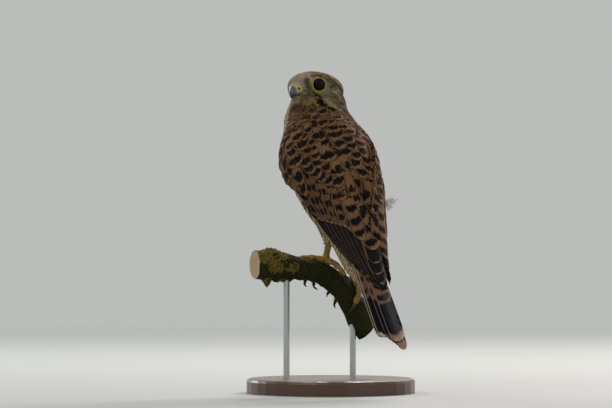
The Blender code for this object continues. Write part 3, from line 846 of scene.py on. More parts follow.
def feather_finish(name, barbs, roughness, rim_start=0.74, tip=(0.92, 0.985), one_edge=False, end_band=None):
    """Bars across a vane, a streak along its shaft and a pale rim, each as strong as the vane says.

    The rim runs along both edges from rim_start outwards, and round the tip. one_edge keeps it to
    the edge at u = 0 and the tip. end_band is where a dark band begins, as a share of the length;
    it ends where the vane's first line number says.
    """
    made = Finish(name, Roughness=roughness, Specular_IOR_Level=0.02)
    plus, times, band = made.plus, made.times, made.band
    u, v, _ = made.parts(made.add("UVMap", uv_map="vane"))
    strength, number, phase = made.parts(made.read("bars", 1))
    streak, rim, chance = made.parts(made.read("lines", 1))
    across = times(u, 2.0, -1.0)
    out = made.math("ABSOLUTE", across)  # 0 at the shaft, 1 at an edge
    squared = times(out, out)
    wander = made.grain(made.place(), 0.28, 3.0, 0.6)
    barb_place = made.add("CombineXYZ", {0: times(u, 15.0), 1: times(v, 2.5), 2: times(chance, 37.0)})
    fringe = made.grain(barb_place, 1.0, 1.0)
    ragged = times(wander, 0.4, times(fringe, 0.45, -0.425))

    turns_done = plus(times(v, number, phase), times(squared, 0.20, ragged))
    from_middle = made.math("ABSOLUTE", plus(made.math("FRACT", turns_done), -0.5))
    in_bar = band(times(squared, 0.14, from_middle), 0.23, 0.34, 1.0, 0.0)
    inside = band(times(wander, 0.4, out), 0.88, 1.15, 1.0, 0.0)
    off_tip = band(v, 0.90, 0.96, 1.0, 0.0)
    bar_share = times(times(in_bar, inside), times(off_tip, strength))
    if end_band is None:
        narrow = times(v, -0.12, 0.34)
        in_streak = band(made.math("SUBTRACT", out, narrow), -0.10, 0.10, 1.0, 0.0)
        second = times(times(in_streak, streak), off_tip)
    else:
        past_end = band(made.math("SUBTRACT", v, streak), 0.0, 0.03, 1.0, 0.0)
        second = times(band(v, end_band, end_band + 0.03), past_end)
    marks = made.math("MAXIMUM", bar_share, second)

    edge = out
    if one_edge:
        near_tip = times(out, band(v, tip[0] - 0.14, tip[0] - 0.04))
        edge = made.math("MAXIMUM", times(across, -1.0), near_tip)
    at_rim = made.math("MAXIMUM", band(edge, rim_start, 0.97), band(v, *tip))
    barb_waves = made.math("SINE", times(times(out, -0.35, v), barbs * math.tau))
    wear_and_painted_light = times(wander, 0.55, times(fringe, 0.5, 0.48))
    toned = made.shade(made.read("ground"), times(barb_waves, 0.07, wear_and_painted_light))
    marked_vane = made.mix(marks, toned, made.read("mark"))
    rimmed = made.mix(times(at_rim, rim), marked_vane, made.read("rim"))
    shaft_colour = made.mix(chance, made.read("mark"), made.read("ground"))
    made.feed("Base Color", made.mix(band(out, 0.02, 0.06, 0.3, 0.0), rimmed, shaft_colour))
    made.bump(plus(barb_waves, band(out, 0.0, 0.09, 3.0, 0.0)), 0.25, 0.08)
    return made


soft_feathers = feather_finish("soft_feathers", 24, 0.75)
quill_feathers = feather_finish("quill_feathers", 110, 0.6, 0.84, (0.955, 0.99), one_edge=True)
chances = np.random.default_rng(19)


def body_unwrap(point):
    """Round the spine and along it, as the skin of the body unrolls."""
    along, left, up = body_place(point)
    return math.atan2(left, up), along / 45


def head_unwrap(point):
    """Round the bill's axis, and from the bill to the nape."""
    front, left, up = head_place(point)
    return math.atan2(left, up + 4), math.atan2(front, math.hypot(left, up + 4))


# The mantle, scapulars and wing coverts
# Broad round feathers in staggered rows over the back and both folded wings, rufous with one or
# two black bars and a buff rim. They grow longer down the back.

BACK_ROWS = (  # along the spine, angle where the rows end, feather's length, width
    (-40, 126, 32, 20.0),
    (-20, 126, 30, 18.5),
    (0, 126, 27, 17.0),
    (24, 124, 22, 14.5),
    (44, 112, 16, 11.5),
    (62, 70, 12, 8.5),
)
BACK_FIRST, BACK_LAST = 62.0, -34.0
BACK_RADIUS = 42.0  # about, to count the feathers of a row
BACK_TOP = 281.0  # from this height up the head's tufts follow
SIDE_STRETCH = 40.0  # the rows end this much sooner at the sides, where narrow wing coverts follow
BACK_SHARES = (0.38, 0.66)  # from row to row as a share of the length, and beside it of the width
ON_WING = 2.2  # a place less than this off a wing's solid is covered by the wing's feathers
FLANK_OVERLAP = 3.0  # and this much more beside the flank, which the wing's loose edge hides


def wing_solid(node):
    """A smoothed copy of a wing's solid, to lay feathers on."""
    return surface_of(bulk("wing_outline", {node: None}, 0.8 * MM, 0.25 * MM, 5))


wings = {"left": wing_solid("wing_left"), "right": wing_solid("wing_right")}


def on_a_wing(point, overlap=FLANK_OVERLAP):
    """Whether a wing's feathers cover this place, with this much more of it beside the flank."""
    along = body_place(point)[0]
    reach = ON_WING + overlap * step(along, -50, -35) * (1 - step(along, 0, 15))
    return any(wing.find_nearest(point)[3] < reach * MM for wing in wings.values())


def surface_at(along, angle, reach=70.0):
    """The place on the outline this far along the spine and round it."""
    out = swung(DORSAL, LEFT, math.radians(angle))
    hit, normal, _, _ = envelope.ray_cast(in_body(along, 0, 0) + out * reach * MM, -out)
    return hit, normal


BASE_LIFTS, TOP_LIFTS = (-1.1, -0.35), (-1.0, 0.15)  # root and tip over the outline
COVERT_EDGE = (  # columns and rows of the photograph below which the wing's long coverts show
    (280.0, 200.0), (293.0, 200.0), (300.0, 182.0), (310.0, 176.0), (320.0, 181.0), (330.0, 187.0),
    (340.0, 196.0), (348.0, 212.0), (356.0, 228.0), (363.0, 238.0), (390.0, 250.0),
)
MARK_PLACE = 0.775  # of a feather's mark, as a share of its length
BACK_MARKS = (  # the dark marks: column and row of the middle, width and height, in pixels
    (299.9, 125.5, 3, 3), (295.5, 119.1, 2.5, 2.5), (293.1, 124.8, 2.5, 2.5), (287.9, 128.7, 3, 3),
    (286.3, 134.3, 5, 3.5), (282.9, 141.8, 4, 5), (289.1, 145.8, 6, 4), (297.1, 136.7, 10, 4),
    (303.9, 136.3, 4, 3), (301.5, 144.2, 13, 5), (291.5, 151.8, 9, 6), (308.2, 150.2, 6, 3.5),
    (294.7, 161.0, 13, 6), (305.1, 161.4, 10, 5.5), (309.8, 168.1, 9, 5.5), (315.8, 172.9, 10, 6),
    (317.8, 162.5, 8, 5), (315.8, 155.8, 7, 3.5), (298.1, 176.9, 7, 8), (302.0, 189.0, 7, 9),
    (321.0, 176.9, 8, 5.5), (328.0, 180.5, 8, 4.5), (285.9, 176.5, 5, 9), (283.9, 163.7, 4, 9),
    (289.3, 170.9, 4, 7), (280.0, 152.0, 4, 8), (319.4, 134.3, 12, 6.5), (319.4, 124.3, 11, 5),
    (316.2, 117.1, 10, 3.5), (329.8, 120.9, 9, 4), (334.2, 127.5, 9, 4), (326.6, 143.8, 13, 6),
    (336.1, 134.3, 13, 5), (339.5, 143.2, 13, 5.5), (329.0, 155.0, 17, 6.5), (345.2, 151.6, 12, 5),
    (341.0, 168.9, 20, 7), (326.6, 167.7, 6, 5), (338.2, 181.3, 11, 5), (341.7, 194.2, 11, 5.5),
    (348.9, 139.2, 8, 4), (352.1, 145.8, 8, 4), (356.9, 155.0, 8, 5), (354.5, 162.5, 12, 6.5),
    (362.5, 172.5, 10, 5), (353.7, 186.0, 20, 9), (355.3, 198.2, 9, 5), (348.9, 206.8, 15, 7),
    (364.4, 198.0, 9, 8), (364.0, 212.2, 9, 6), (348.1, 215.8, 12, 4.5), (361.7, 143.8, 8, 4),
    (363.4, 151.5, 6, 5), (366.5, 160.5, 6, 5), (374.4, 159.0, 8, 5), (378.0, 167.8, 7, 6),
    (376.0, 175.9, 11, 6), (372.8, 184.0, 12, 6), (372.8, 194.3, 12, 8), (379.4, 200.4, 8, 6),
    (381.3, 190.0, 6, 9), (375.8, 208.4, 9, 6), (371.0, 221.5, 10, 6), (322.6, 111.6, 7, 3),
    (337.0, 116.5, 7, 3), (307.6, 121.0, 5, 3), (308.6, 129.3, 5, 3.5), (343.5, 126.5, 7, 3.5),
    (351.0, 131.5, 6, 3.5), (368.8, 168.0, 6, 5), (310.9, 142.4, 6, 3.5), (371.5, 231.5, 11, 6),
)


def pixel_of(point):
    """The photograph's column and row where this place is seen."""
    way = point - CAMERA_PLACE
    scale = CAMERA_DISTANCE / way.y / PIXEL
    return way.x * scale + PHOTO_SIZE[0] / 2, PHOTO_SIZE[1] / 2 - way.z * scale


def in_view(point):
    """Whether the photograph shows this place and the marks above are given there."""
    column, row = pixel_of(point)
    place, normal = seen(column, row)
    if place is None or (place - point).length > 5 * MM:
        return False
    if normal.dot(CAMERA_PLACE - place) < 0.25 * CAMERA_DISTANCE:
        return False
    return min(math.hypot(column - mark[0], row - mark[1]) for mark in BACK_MARKS) < 9


def feather_lie(root):
    """The way a feather of the back lies from here: down the back, and a little inwards."""
    along, left, up = body_place(root)
    inwards = (0.18 + 0.22 * step(-along, -20, 30)) * left / math.hypot(left, up)
    return -SPINE - LEFT * inwards


def laid_vane(root, lie, length, width, lifts, shape, **looks):
    """A feather laid on the bird's outline from its root, with the looks that its finish reads."""
    lifts = (lifts[0] * MM, lifts[1] * MM)
    laid = lay_vane(root, lie, length * MM, width * MM, lifts, shape)
    return {"rows": laid, "shares": [share for share, _ in shape], "root": root, **looks}


def back_vane(root, length, width, lie, lifts, bars):
    """A feather of the mantle or of a wing's coverts."""
    here = ground_colour(root)
    if on_a_wing(root) or root.z > HEAD_BOTTOM * MM:
        here = blend(RUFOUS, RUFOUS_PALE, 0.3 * chances.random())
    rim_reach = step(-body_place(root)[0], -40, 25)
    return laid_vane(
        root, lie, length, width, lifts, VANE_SHAPE,
        ground=blend(here, RUFOUS_PALE, 0.5 * chances.random()),
        mark=blend(DARK_BAR, BROWN_STREAK, 0.15 * chances.random()),
        rim=blend(RUFOUS_PALE, BUFF, 0.5 * chances.random()),
        bars=bars,
        lines=(0.0, 0.06 + 0.36 * chances.random() * rim_reach, chances.random()),
    )


def staggered(stations, first, last, shares, middle, radius_at, jitters):
    """Where the feathers of staggered rows down the spine begin.

    The stations give each row's edge in degrees and its feathers' length and width. Each place is the
    row's own, the feather's length, width and angle round the spine, and its root on the outline.
    """
    along, row = first, 0
    while along > last:
        edge, length, width = smooth(stations, along)
        gap = math.degrees(shares[1] * width / radius_at(along))
        count = int(abs(middle - edge) / gap)
        for column in range(-count, count + 1):
            angle = middle + (column + 0.5 * (row % 2)) * gap + chances.normal(0, jitters[0])
            root, _ = surface_at(along + chances.normal(0, jitters[1]), angle)
            if root is not None:
                yield along, length, width, angle, root
        along -= length * shares[0]
        row += 1


def past_coverts(tip):
    """Whether a feather with this tip would lie over a wing's long coverts."""
    along, left, up = body_place(tip)
    slip = WING_SLIP_BACK if left < 0 else 0.0
    column, row = pixel_of(in_body(along - slip, abs(left), up))
    return row > smooth(COVERT_EDGE, column)[0] + 3


back_vanes = []
back_rows = staggered(
    BACK_ROWS, BACK_FIRST, BACK_LAST, BACK_SHARES, 0, lambda along: BACK_RADIUS, (1.6, 1.1)
)
for along, length, width, angle, root in back_rows:
    if root.z > BACK_TOP * MM or along < BACK_LAST + SIDE_STRETCH * step(abs(angle), 38, 62):
        continue
    if not on_a_wing(root) and breast_share(root) > 0.4:
        continue
    sideways = abs(math.sin(math.radians(angle)))
    narrow = 1 - 0.38 * step(sideways, 0.55, 0.95) * step(-along, -40, 0)
    size = 1 + chances.normal(0, 0.06)
    lie = feather_lie(root) + LEFT * chances.normal(0, 0.05)
    if along < 20 and on_a_wing(root) and past_coverts(root + lie.normalized() * length * MM):
        continue
    measured = in_view(root + lie.normalized() * 0.6 * length * MM)
    strength = 0.0 if measured else 0.85 + 0.15 * chances.random()
    bars = (strength, 2.0, 0.86 + 0.18 * chances.random())
    back_vanes.append(back_vane(root, length * size, width * narrow, lie, BASE_LIFTS, bars))
for column, row, wide, high in BACK_MARKS:
    middle, normal = seen(column, row)
    if middle is None:
        continue
    wide, high = 1.12 * wide + 0.5, 1.2 * high + 0.4
    lie = feather_lie(middle)
    lie = (lie - normal * lie.dot(normal)).normalized()
    towards = sight(column, row)
    wide /= max(0.5, towards.cross(normal.cross(lie)).length)  # a slanting place looks narrower
    high /= max(0.6, towards.cross(lie).length)
    length = 12 + 2.0 * high
    width = wide * PIXEL / MM / 0.8 + 1.5
    root, _ = hugging(envelope, middle - lie * MARK_PLACE * length * MM)
    number = 0.56 * length / (high * PIXEL / MM)
    bars = (1.0, number, (0.5 - MARK_PLACE * number) % 1.0)
    lie += (middle - root).normalized()
    lifts = (TOP_LIFTS[0], TOP_LIFTS[1] + 0.02 * wide)
    back_vanes.append(back_vane(root, length, width, lie, lifts, bars))
feather_piece(
    "coat_back", back_vanes, body_unwrap, 0.02, soft_feathers, arch=0.12 * MM, thick=0.14 * MM
)


# The breast, belly and undertail coverts
# Loose soft feathers, buff to cream with a brown streak on each shaft, that wrap the breast and
# belly between the wings' edges and run on under the tail.

BELLY_ROWS = (  # along the spine, angle where they begin, feather's length, width
    (-116, 40, 17, 6.0),
    (-96, 60, 16, 7.0),
    (-72, 84, 14, 8.0),
    (-30, 88, 13, 8.0),
    (10, 100, 13, 8.0),
    (40, 92, 12, 7.5),
    (62, 60, 11, 6.5),
)
BELLY_FIRST, BELLY_LAST = 60.0, -120.0
SOFT_SHARES = (0.34, 0.62)  # from row to row as a share of the length, and beside it of the width
BELLY_TOP = 272.0
NO_BARS = (0.0, 1.0, 0.0)


def soft_vane(root, length, width, lie, streak, lifts):
    """A loose feather with a dark streak this strong along its shaft."""
    here = ground_colour(root)
    return laid_vane(
        root, lie, length, width, lifts, VANE_SHAPE,
        ground=blend(here, CREAM, 0.25 * chances.random()),
        mark=BROWN_STREAK,
        rim=blend(here, CREAM, 0.6),
        bars=NO_BARS,
        lines=(streak, 0.4, chances.random()),
    )


WING_EDGE = (  # rows and columns of the folded left wing's lower edge
    (184.0, 286.0), (194.0, 297.0), (208.0, 306.5), (216.0, 313.5), (230.6, 325.5), (247.2, 338.3),
    (261.2, 347.8), (269.5, 354.2), (276.5, 361.2), (290.0, 377.0),
)


def hides_wing(point):
    """Whether a feather here would hide the left wing's long feathers in the photograph."""
    column, row = pixel_of(point)
    if not WING_EDGE[0][0] < row < WING_EDGE[-1][0] or body_place(point)[1] < 0:
        return False
    _, _, _, reach = wings["left"].ray_cast(CAMERA_PLACE, sight(column, row))
    behind = reach is not None and reach < (point - CAMERA_PLACE).length - 4 * MM
    return not behind and column > smooth(WING_EDGE, row)[0] - 1.5


def belly_radius(along):
    """About how far the breast and belly are from the spine here."""
    hit, _ = surface_at(along, 180)
    return max(12.0, 0.5 * ((in_body(along, 0, 0) - hit).length / MM + 22)) if hit else 20.0


def swayed():
    """A small chance shift of the way in which a soft feather lies."""
    return Vector((chances.normal(0, 0.07), chances.normal(0, 0.07), 0))


belly_vanes = []
belly_rows = staggered(BELLY_ROWS, BELLY_FIRST, BELLY_LAST, SOFT_SHARES, 180, belly_radius, (1.2, 0.7))
for along, length, width, _, root in belly_rows:
    if root.z > BELLY_TOP * MM or on_a_wing(root, 0.0) or hides_wing(root):
        continue
    streak = step(along, -45, -10) * (0.75 + 0.25 * chances.random())
    lie = -SPINE + swayed()
    belly_vanes.append(soft_vane(root, length, width, lie, streak, (-1.7, 0.0)))
coat_belly = feather_piece("coat_belly", belly_vanes, body_unwrap, 0.012, soft_feathers, arch=0.15 * MM)


# The thighs
# Loose buff "trousers" that hang round each upper leg down to the ankle.

HIPS = {"left": Vector((-6.5, -1.0, -36.0)), "right": Vector((9.0, 16.0, -40.0))}
ANKLES = {"left": Vector((-6.2, -4.0, -66.0)), "right": Vector((12.0, 12.0, -79.0))}
THIGH_RINGS = 9
thigh_vanes = []
for leg, hip in HIPS.items():
    top, ankle = TRUNK_CENTRE + hip * MM, TRUNK_CENTRE + ANKLES[leg] * MM
    down = (ankle - top).normalized()
    across = down.cross(BODY_LEVEL).normalized()
    for ring in range(THIGH_RINGS):
        share = ring / (THIGH_RINGS - 1) * 0.92
        for turn in turns(int(17 - 10 * share), 0.5 * (ring % 2)):
            out = swung(across, down.cross(across), turn)
            start = top.lerp(ankle, share) + out * (17 - 13 * share) * MM
            root, _ = hugging(envelope, start)
            if (root - start).length > 6 * MM or body_angle(root) < 80:
                continue
            length, width = 9.5 - 3.0 * share, 5.0 - 2.2 * share
            thigh_vanes.append(soft_vane(root, length, width, down, 0.15, (-0.9, 0.4)))
coat_thighs = feather_piece("coat_thighs", thigh_vanes, body_unwrap, 0.012, soft_feathers, arch=0.15 * MM)


# The head and neck
# Thousands of tiny tufts that start at the bill and run back over crown and cheeks, growing
# longer down the neck. They leave the eyes, their bare rings and the bill free.

EYE_RADIUS = 7.2
EYE_PLACE = (0.5, 11.0, 0.2)  # of an eyeball's centre: forwards, out and up
EYE_TURN = 32.0  # degrees that an eye looks forwards
SIDES = {"left": 1, "right": -1}
HEAD_TUFTS = 7600
HEAD_MIDDLE = in_head(-6, 0, -5)
OUTSIDE = 60  # from the middle of the head or neck, surely past the feathers
CRISP_BOTTOM, COLLAR_TOP = 274.0, 280.0  # above these the head's own colours begin, behind and in front
GOLDEN_TURN = math.pi * (3 - math.sqrt(5))
EYE_OPENING = 6.15
RING_WIDTHS = (  # degrees from the front over the top, width of the bare ring
    (0, 4.3), (90, 1.2), (180, 1.7), (270, 2.1), (360, 4.3),
)


def eye_centre(side):
    front, out, up = EYE_PLACE
    return in_head(front, side * out, up)


def eye_axis(side):
    """The direction in which an eye looks."""
    return swung(HEAD_LEFT * side, HEAD_FRONT, math.radians(EYE_TURN))


def eye_ways(side):
    """The directions forwards and up across an eye's axis."""
    axis = eye_axis(side)
    up = (HEAD_UP - axis * HEAD_UP.dot(axis)).normalized()
    return (HEAD_FRONT - axis * HEAD_FRONT.dot(axis) - up * HEAD_FRONT.dot(up)).normalized(), up


def ring_reach(turn):
    """From an eye's axis to its ring's outer edge, turn radians from the front over the top."""
    return EYE_OPENING + smooth(RING_WIDTHS, math.degrees(turn) % 360)[0]


def off_ring(point, side):
    """How far the point is outside the ring round an eye, in millimetres."""
    span = (point - eye_centre(side)) / MM
    if span.dot(eye_axis(side)) < 0:
        return 99.0
    front, up = eye_ways(side)
    across = Vector((span.dot(front), span.dot(up)))
    return across.length - ring_reach(math.atan2(across.y, across.x))


BILL_ROOT = in_head(21.0, 0, -4.5)


def jittered(by):
    """A small chance vector, about this much in each direction."""
    return Vector([chances.normal(0, by) for _ in range(3)])


def tuft_lie(root):
    """The way a tuft lies: back from the bill, down the cheeks and nape, and round the eyes."""
    front, _, up = head_place(root)
    lie = (root - BILL_ROOT).normalized() - HEAD_FRONT * 0.7
    lie += Vector((0, 0, -1)) * (0.25 + 1.3 * step(-up, 2, 18) + 0.8 * step(-front, 12, 30))
    for side in SIDES.values():
        away = root - eye_centre(side)
        near = 1 - step(off_ring(root, side), 0, 5)
        lie += (away - eye_axis(side) * away.dot(eye_axis(side))).normalized() * 0.5 * near
    return lie + jittered(0.09)


def head_tuft(root):
    front, left, up = head_place(root)
    height = root.z / MM
    behind = breast_share(root) < 0.5
    from_bill = (root - BILL_ROOT).length / MM
    size = step(from_bill, 8, 44)
    lie = tuft_lie(root)
    sampled = root + jittered(0.5) * MM
    crisp = height > (CRISP_BOTTOM if behind else COLLAR_TOP)
    here = head_colour(sampled) if crisp else ground_colour(sampled)
    # Across the cheek's streaks, and on crown and nape across streaks that run straight back.
    lengthwise = max(step(up, 3, 8), step(-front, 13, 20))
    across = (up - 0.55 * front) * (1 - lengthwise) + 1.2 * abs(left) * lengthwise
    grain = uneven(across * 0.72, from_bill * 0.13, 3.0) + 0.12 * chances.normal(0, 1)
    streaky = 0.30 + 0.5 * step(-front, -6, 6) + 0.1 * step(up, 4, 9)
    streaky *= 0.2 + 0.8 * step(height, 271, 276)
    here = blend(here, BROWN_STREAK, streaky * step(grain, -0.02, 0.20))
    here = blend(here, CREAM, 0.42 * streaky * step(-grain, 0.04, 0.28))
    if root.z < BACK_TOP * MM and behind:
        speck = noise.noise(root * 330) + 0.1 * chances.normal(0, 1)
        here = blend(here, DARK_BAR, 0.85 * step(speck, 0.06, 0.25) * (1 - step(height, 276, 282)))
    here, mark_share = marked(here, sampled)
    streak = 0.6 * streaky * chances.random()
    return laid_vane(
        root, lie, 2.2 + 4.4 * size, 1.15 + 1.1 * size, (-0.9, 0.15), TUFT_SHAPE,
        ground=blend(here, BUFF, 0.08 * chances.random() * (1 - mark_share)),
        mark=BROWN_STREAK,
        rim=blend(here, CREAM, 0.25 * (1 - mark_share)),
        bars=NO_BARS,
        lines=(streak, 0.3 * chances.random(), chances.random()),
    )


def on_bill(place):
    """Whether the bill grows out of the head here."""
    front, left, up = head_place(place)
    if front <= 15:
        return False
    return math.hypot(left / 7.0, (up + 3.2) / 4.8) < 1 or math.hypot(left / 4.6, (up + 10.2) / 2.0) < 1


head_tufts = []
for i in range(HEAD_TUFTS):
    height = 1 - 2 * (i + 0.5) / HEAD_TUFTS
    ring = math.sqrt(1 - height * height)
    turn = i * GOLDEN_TURN
    out = Vector((ring * math.cos(turn), ring * math.sin(turn), height))
    root, _, _, _ = envelope.ray_cast(HEAD_MIDDLE + out * OUTSIDE * MM, -out)
    if root is None or root.z < HEAD_BOTTOM * MM or on_bill(root):
        continue
    if min(off_ring(root, side) for side in SIDES.values()) < 0.1:
        continue
    head_tufts.append(head_tuft(root))
feather_piece(
    "coat_head", head_tufts, head_unwrap, 0.003, soft_feathers, fine=False, arch=0.14 * MM, thick=0.12 * MM
)

NECK_LEVELS = (238.0, 270.0)  # the heights between which its feathers begin
NECK_RADIUS = 30.0  # about, to count the feathers of a row
NECK_AXIS = TRUNK_CENTRE + Vector((-16, 20, 0)) * MM
neck_vanes = []
level, row = NECK_LEVELS[1], 0
while level > NECK_LEVELS[0]:
    size = (NECK_LEVELS[1] - level) / (NECK_LEVELS[1] - NECK_LEVELS[0])
    length, width = 7.0 + 4.5 * size, 3.6 + 2.6 * size
    for turn in turns(int(math.tau * NECK_RADIUS / (width * SOFT_SHARES[1])), 0.5 * (row % 2)):
        out = Vector((math.cos(turn), math.sin(turn), 0))
        height = (level + chances.normal(0, 0.5)) * MM
        start = Vector((*NECK_AXIS.xy, height)) + out * OUTSIDE * MM
        root, _, _, _ = envelope.ray_cast(start, -out)
        if root is None or (size > 0.35 and breast_share(root) < 0.5):
            continue
        lie = Vector((0, 0, -1)) - SPINE * 0.6 + swayed()
        streak = 0.8 * chances.random()
        neck_vane = soft_vane(root, length, width, lie, streak, (-1.4, 0.1))
        if breast_share(root) < 0.5 and root.z < CRISP_BOTTOM * MM:
            neck_vane["ground"] = blend(RUFOUS, RUFOUS_PALE, chances.random())
            neck_vane["mark"] = DARK_BAR
            neck_vane["lines"] = (0.4 + 0.6 * chances.random(), 0.3, chances.random())
        neck_vanes.append(neck_vane)
    level -= length * SOFT_SHARES[0]
    row += 1
feather_piece("coat_neck", neck_vanes, body_unwrap, 0.012, soft_feathers, arch=0.15 * MM)


# The flight feathers of the wings
# Each folded wing is a stack: long near-black primaries with thin pale edges, over them the barred
# greater coverts and tertials, and the secondaries' rufous tips. The left wing's are laid by where
# the photograph shows them, and the right wing's are their mirror images, slipped back and inwards.

QUILL_ROWS = tuple(t / 15 for t in range(14)) + (0.955, 0.985, 1.0)
PRIMARY_COUNT = 9
LEFT_WING_DEPTH = 0.04  # metres in front of the plane of the photograph's scale
QUILL_TILT = 0.18  # each feather's outer edge lies this much over the middle, its inner edge under it
# Columns and rows of the photograph, from here to the tail's feathers.
PRIMARY_ROOTS = ((293.0, 189.5), (352.0, 219.0))
PRIMARY_TIPS = (
    (354.8, 270.5), (363.0, 278.5), (370.0, 285.0), (375.0, 288.8), (378.5, 289.0), (381.0, 284.0),
)


def on_wing(column, row):
    """The place and outward normal on the left wing at this pixel, or at its edge just beside it."""
    towards = sight(column, row)
    place, normal, _, _ = wings["left"].ray_cast(CAMERA_PLACE, towards)
    if place is None:
        place = CAMERA_PLACE + towards * (CAMERA_DISTANCE - LEFT_WING_DEPTH)
        for _ in range(5):
            edge, normal, _, _ = wings["left"].find_nearest(place)
            place = CAMERA_PLACE + towards * (edge - CAMERA_PLACE).dot(towards)
        normal = (normal - towards).normalized()
    return place, normal


def between(ends, share):
    """The number at this share of the way from the first to the second."""
    return ends[0] + (ends[1] - ends[0]) * share


def along_pixels(pixels, share):
    """The pixel at this share of the way along a smooth line through the pixels."""
    stations = tuple((i / (len(pixels) - 1), *pixel) for i, pixel in enumerate(pixels))
    return smooth(stations, share)


def long_shape(share, root_width, round_tip):
    """A quill feather's breadth at a share of its length, as a share of its width."""
    body = root_width + (1 - root_width) * min(1.0, share * 2.2)
    return body * math.sqrt(max(0.0, 1 - max(0.0, (share - round_tip) / (1 - round_tip)) ** 2.2)) + 0.02


def quill(
    root, tip, width, lifts, colours, bars, lines,
    bow=0.0, lean=0.0, round_tip=0.8, root_width=0.8, under=on_wing,
):
    """A long feather between two pixels, laid on what is under it.

    bow bends it inwards and lean shifts its middle line off its shaft, both in pixels.
    """
    heading = Vector((tip[0] - root[0], tip[1] - root[1]))
    reach = heading.length
    heading.normalize()
    inwards = Vector((heading.y, -heading.x))
    laid = []
    middle_normal = None
    for share in QUILL_ROWS:
        half = width / 2 * long_shape(share, root_width, round_tip)
        middle = Vector(root) + heading * reach * share + inwards * (bow * 4 * share * (1 - share))
        places = []
        for across in (-half + lean, lean, half + lean):
            spot = middle + inwards * across
            place, normal = under(spot.x, spot.y)
            if across == lean:
                middle_normal = normal if middle_normal is None else (middle_normal + normal).normalized()
            places.append(place)
        up = middle_normal * between(lifts, share) * MM
        tilt = middle_normal * QUILL_TILT * MM
        laid.append((places[0] + up + tilt, places[1] + up, places[2] + up - tilt, middle_normal.copy()))
    looks = dict(zip(("ground", "mark", "rim"), colours), bars=bars, lines=lines)
    return {"rows": laid, "shares": QUILL_ROWS, "root": laid[0][1], **looks}


quills = []
for i in range(PRIMARY_COUNT):
    share = i / (PRIMARY_COUNT - 1)
    root = along_pixels(PRIMARY_ROOTS, share)
    tip = along_pixels(PRIMARY_TIPS, share)
    width = 10.0 - 1.0 * share
    colours = (blend(QUILL_BLACK, BROWN_STREAK, 0.25 * chances.random()), QUILL_BLACK, QUILL_EDGE)
    lifts = (-1.3 + 0.13 * i, -0.5 + 0.13 * i)
    quills.append(quill(root, tip, width, lifts, colours, NO_BARS, (0, 0.65, 0.5), -1.2, width / 2))

SECONDARIES = (  # tip and width
    ((384.8, 291.8), 10.0), ((382.2, 284.3), 13.5), ((378.8, 275.0), 15.0), ((376.5, 264.0), 15.5),
)
SECONDARY_REACH = (17.0, 58.0)  # from root to tip, in pixels right and down
for i, (tip, width) in enumerate(SECONDARIES):
    root = (tip[0] - SECONDARY_REACH[0], tip[1] - SECONDARY_REACH[1])
    colours = (QUILL_BLACK, BROWN_STREAK, blend(RUFOUS_PALE, BUFF, 0.35))
    lifts = (-0.6 + 0.15 * i, 0.75 + 0.2 * i)
    quills.append(quill(root, tip, width, lifts, colours, NO_BARS, (0.0, 1.0, 0.2)))

TERTIALS = (  # root, tip, width
    ((345.0, 190.0), (362.5, 240.5), 13.0), ((352.0, 194.0), (374.3, 250.3), 17.5),
)
for i, (root, tip, width) in enumerate(TERTIALS):
    colours = (blend(RUFOUS, RUFOUS_PALE, 0.5), DARK_BAR, blend(BUFF, RUFOUS_PALE, 0.4))
    lifts, bars = (-0.4, 1.5 + 0.15 * i), (1.0, 4.0, 0.02)
    quills.append(quill(root, tip, width, lifts, colours, bars, (0.0, 0.8, 0.3), round_tip=0.78))

COVERTS = (  # count, lift, bars; darkness, width and bow at the row's two ends; its roots and its tips
    (
        10, 0.25, 4.2, (0.3, 0.0), (9.0, 13.0), (-4.5, -2.0),
        ((297.5, 168.0), (309.0, 173.0), (321.0, 178.0), (333.0, 183.0), (346.0, 188.0)),
        ((321.0, 218.8), (330.5, 222.2), (340.0, 224.8), (350.0, 228.5), (361.0, 238.0)),
    ),
    (
        3, 0.05, 1.2, (0.9, 0.9), (5.5, 6.5), (-1.5, -1.5),
        ((297.0, 184.0), (299.5, 182.0), (302.5, 181.0)),
        ((318.0, 220.0), (322.5, 220.6), (327.5, 221.4)),
    ),
)
for count, lift, number, darks, widths, bows, roots, tips in COVERTS:
    for i in range(count):
        share = i / (count - 1)
        root, tip = along_pixels(roots, share), along_pixels(tips, share)
        width, bow = between(widths, share), between(bows, share)
        brown = blend(RUFOUS, QUILL_BLACK, between(darks, share))
        colours = (brown, DARK_BAR, blend(BUFF, CREAM, 0.25 * chances.random()))
        bars = (1.0, number, 0.15 + 0.22 * (i % 2) + 0.15 * chances.random())
        lifts = (-0.7, lift + 0.05 * i)
        quills.append(quill(root, tip, width, lifts, colours, bars, (0.0, 1.0, 0.3), bow, round_tip=0.66))


FOLD_PLACE = -7.0  # the right wing's long feathers are folded up edgewise beside the tail
FOLD_SHARES = (  # distance down the back, and how much of a feather's width still shows there
    (70, 0.60), (90, 0.55), (105, 0.38), (117, 0.22), (132, 0.10),
)


def mirrored(point):
    """The place on the right wing that answers to this one on the left."""
    along, left, up = body_place(point)
    folded = step(-along, 55, 95)
    right = WING_SLIP_IN - left
    along = max(along, -100) + 0.5 * min(along + 100, 0) + WING_SLIP_BACK
    right += (FOLD_PLACE - smooth(FOLD_SHARES, -along)[0] * left - right) * folded
    return in_body(along, right, up - 1.5 * folded)


def mirrored_quill(feather):
    """The same feather on the right wing, u = 0 again at the wing's outer edge."""
    rows = []
    for left, middle, right, normal in feather["rows"]:
        over = normal - LEFT * 2 * normal.dot(LEFT)
        rows.append((mirrored(left), mirrored(middle), mirrored(right), over))
    return {**feather, "rows": rows, "root": mirrored(feather["root"])}


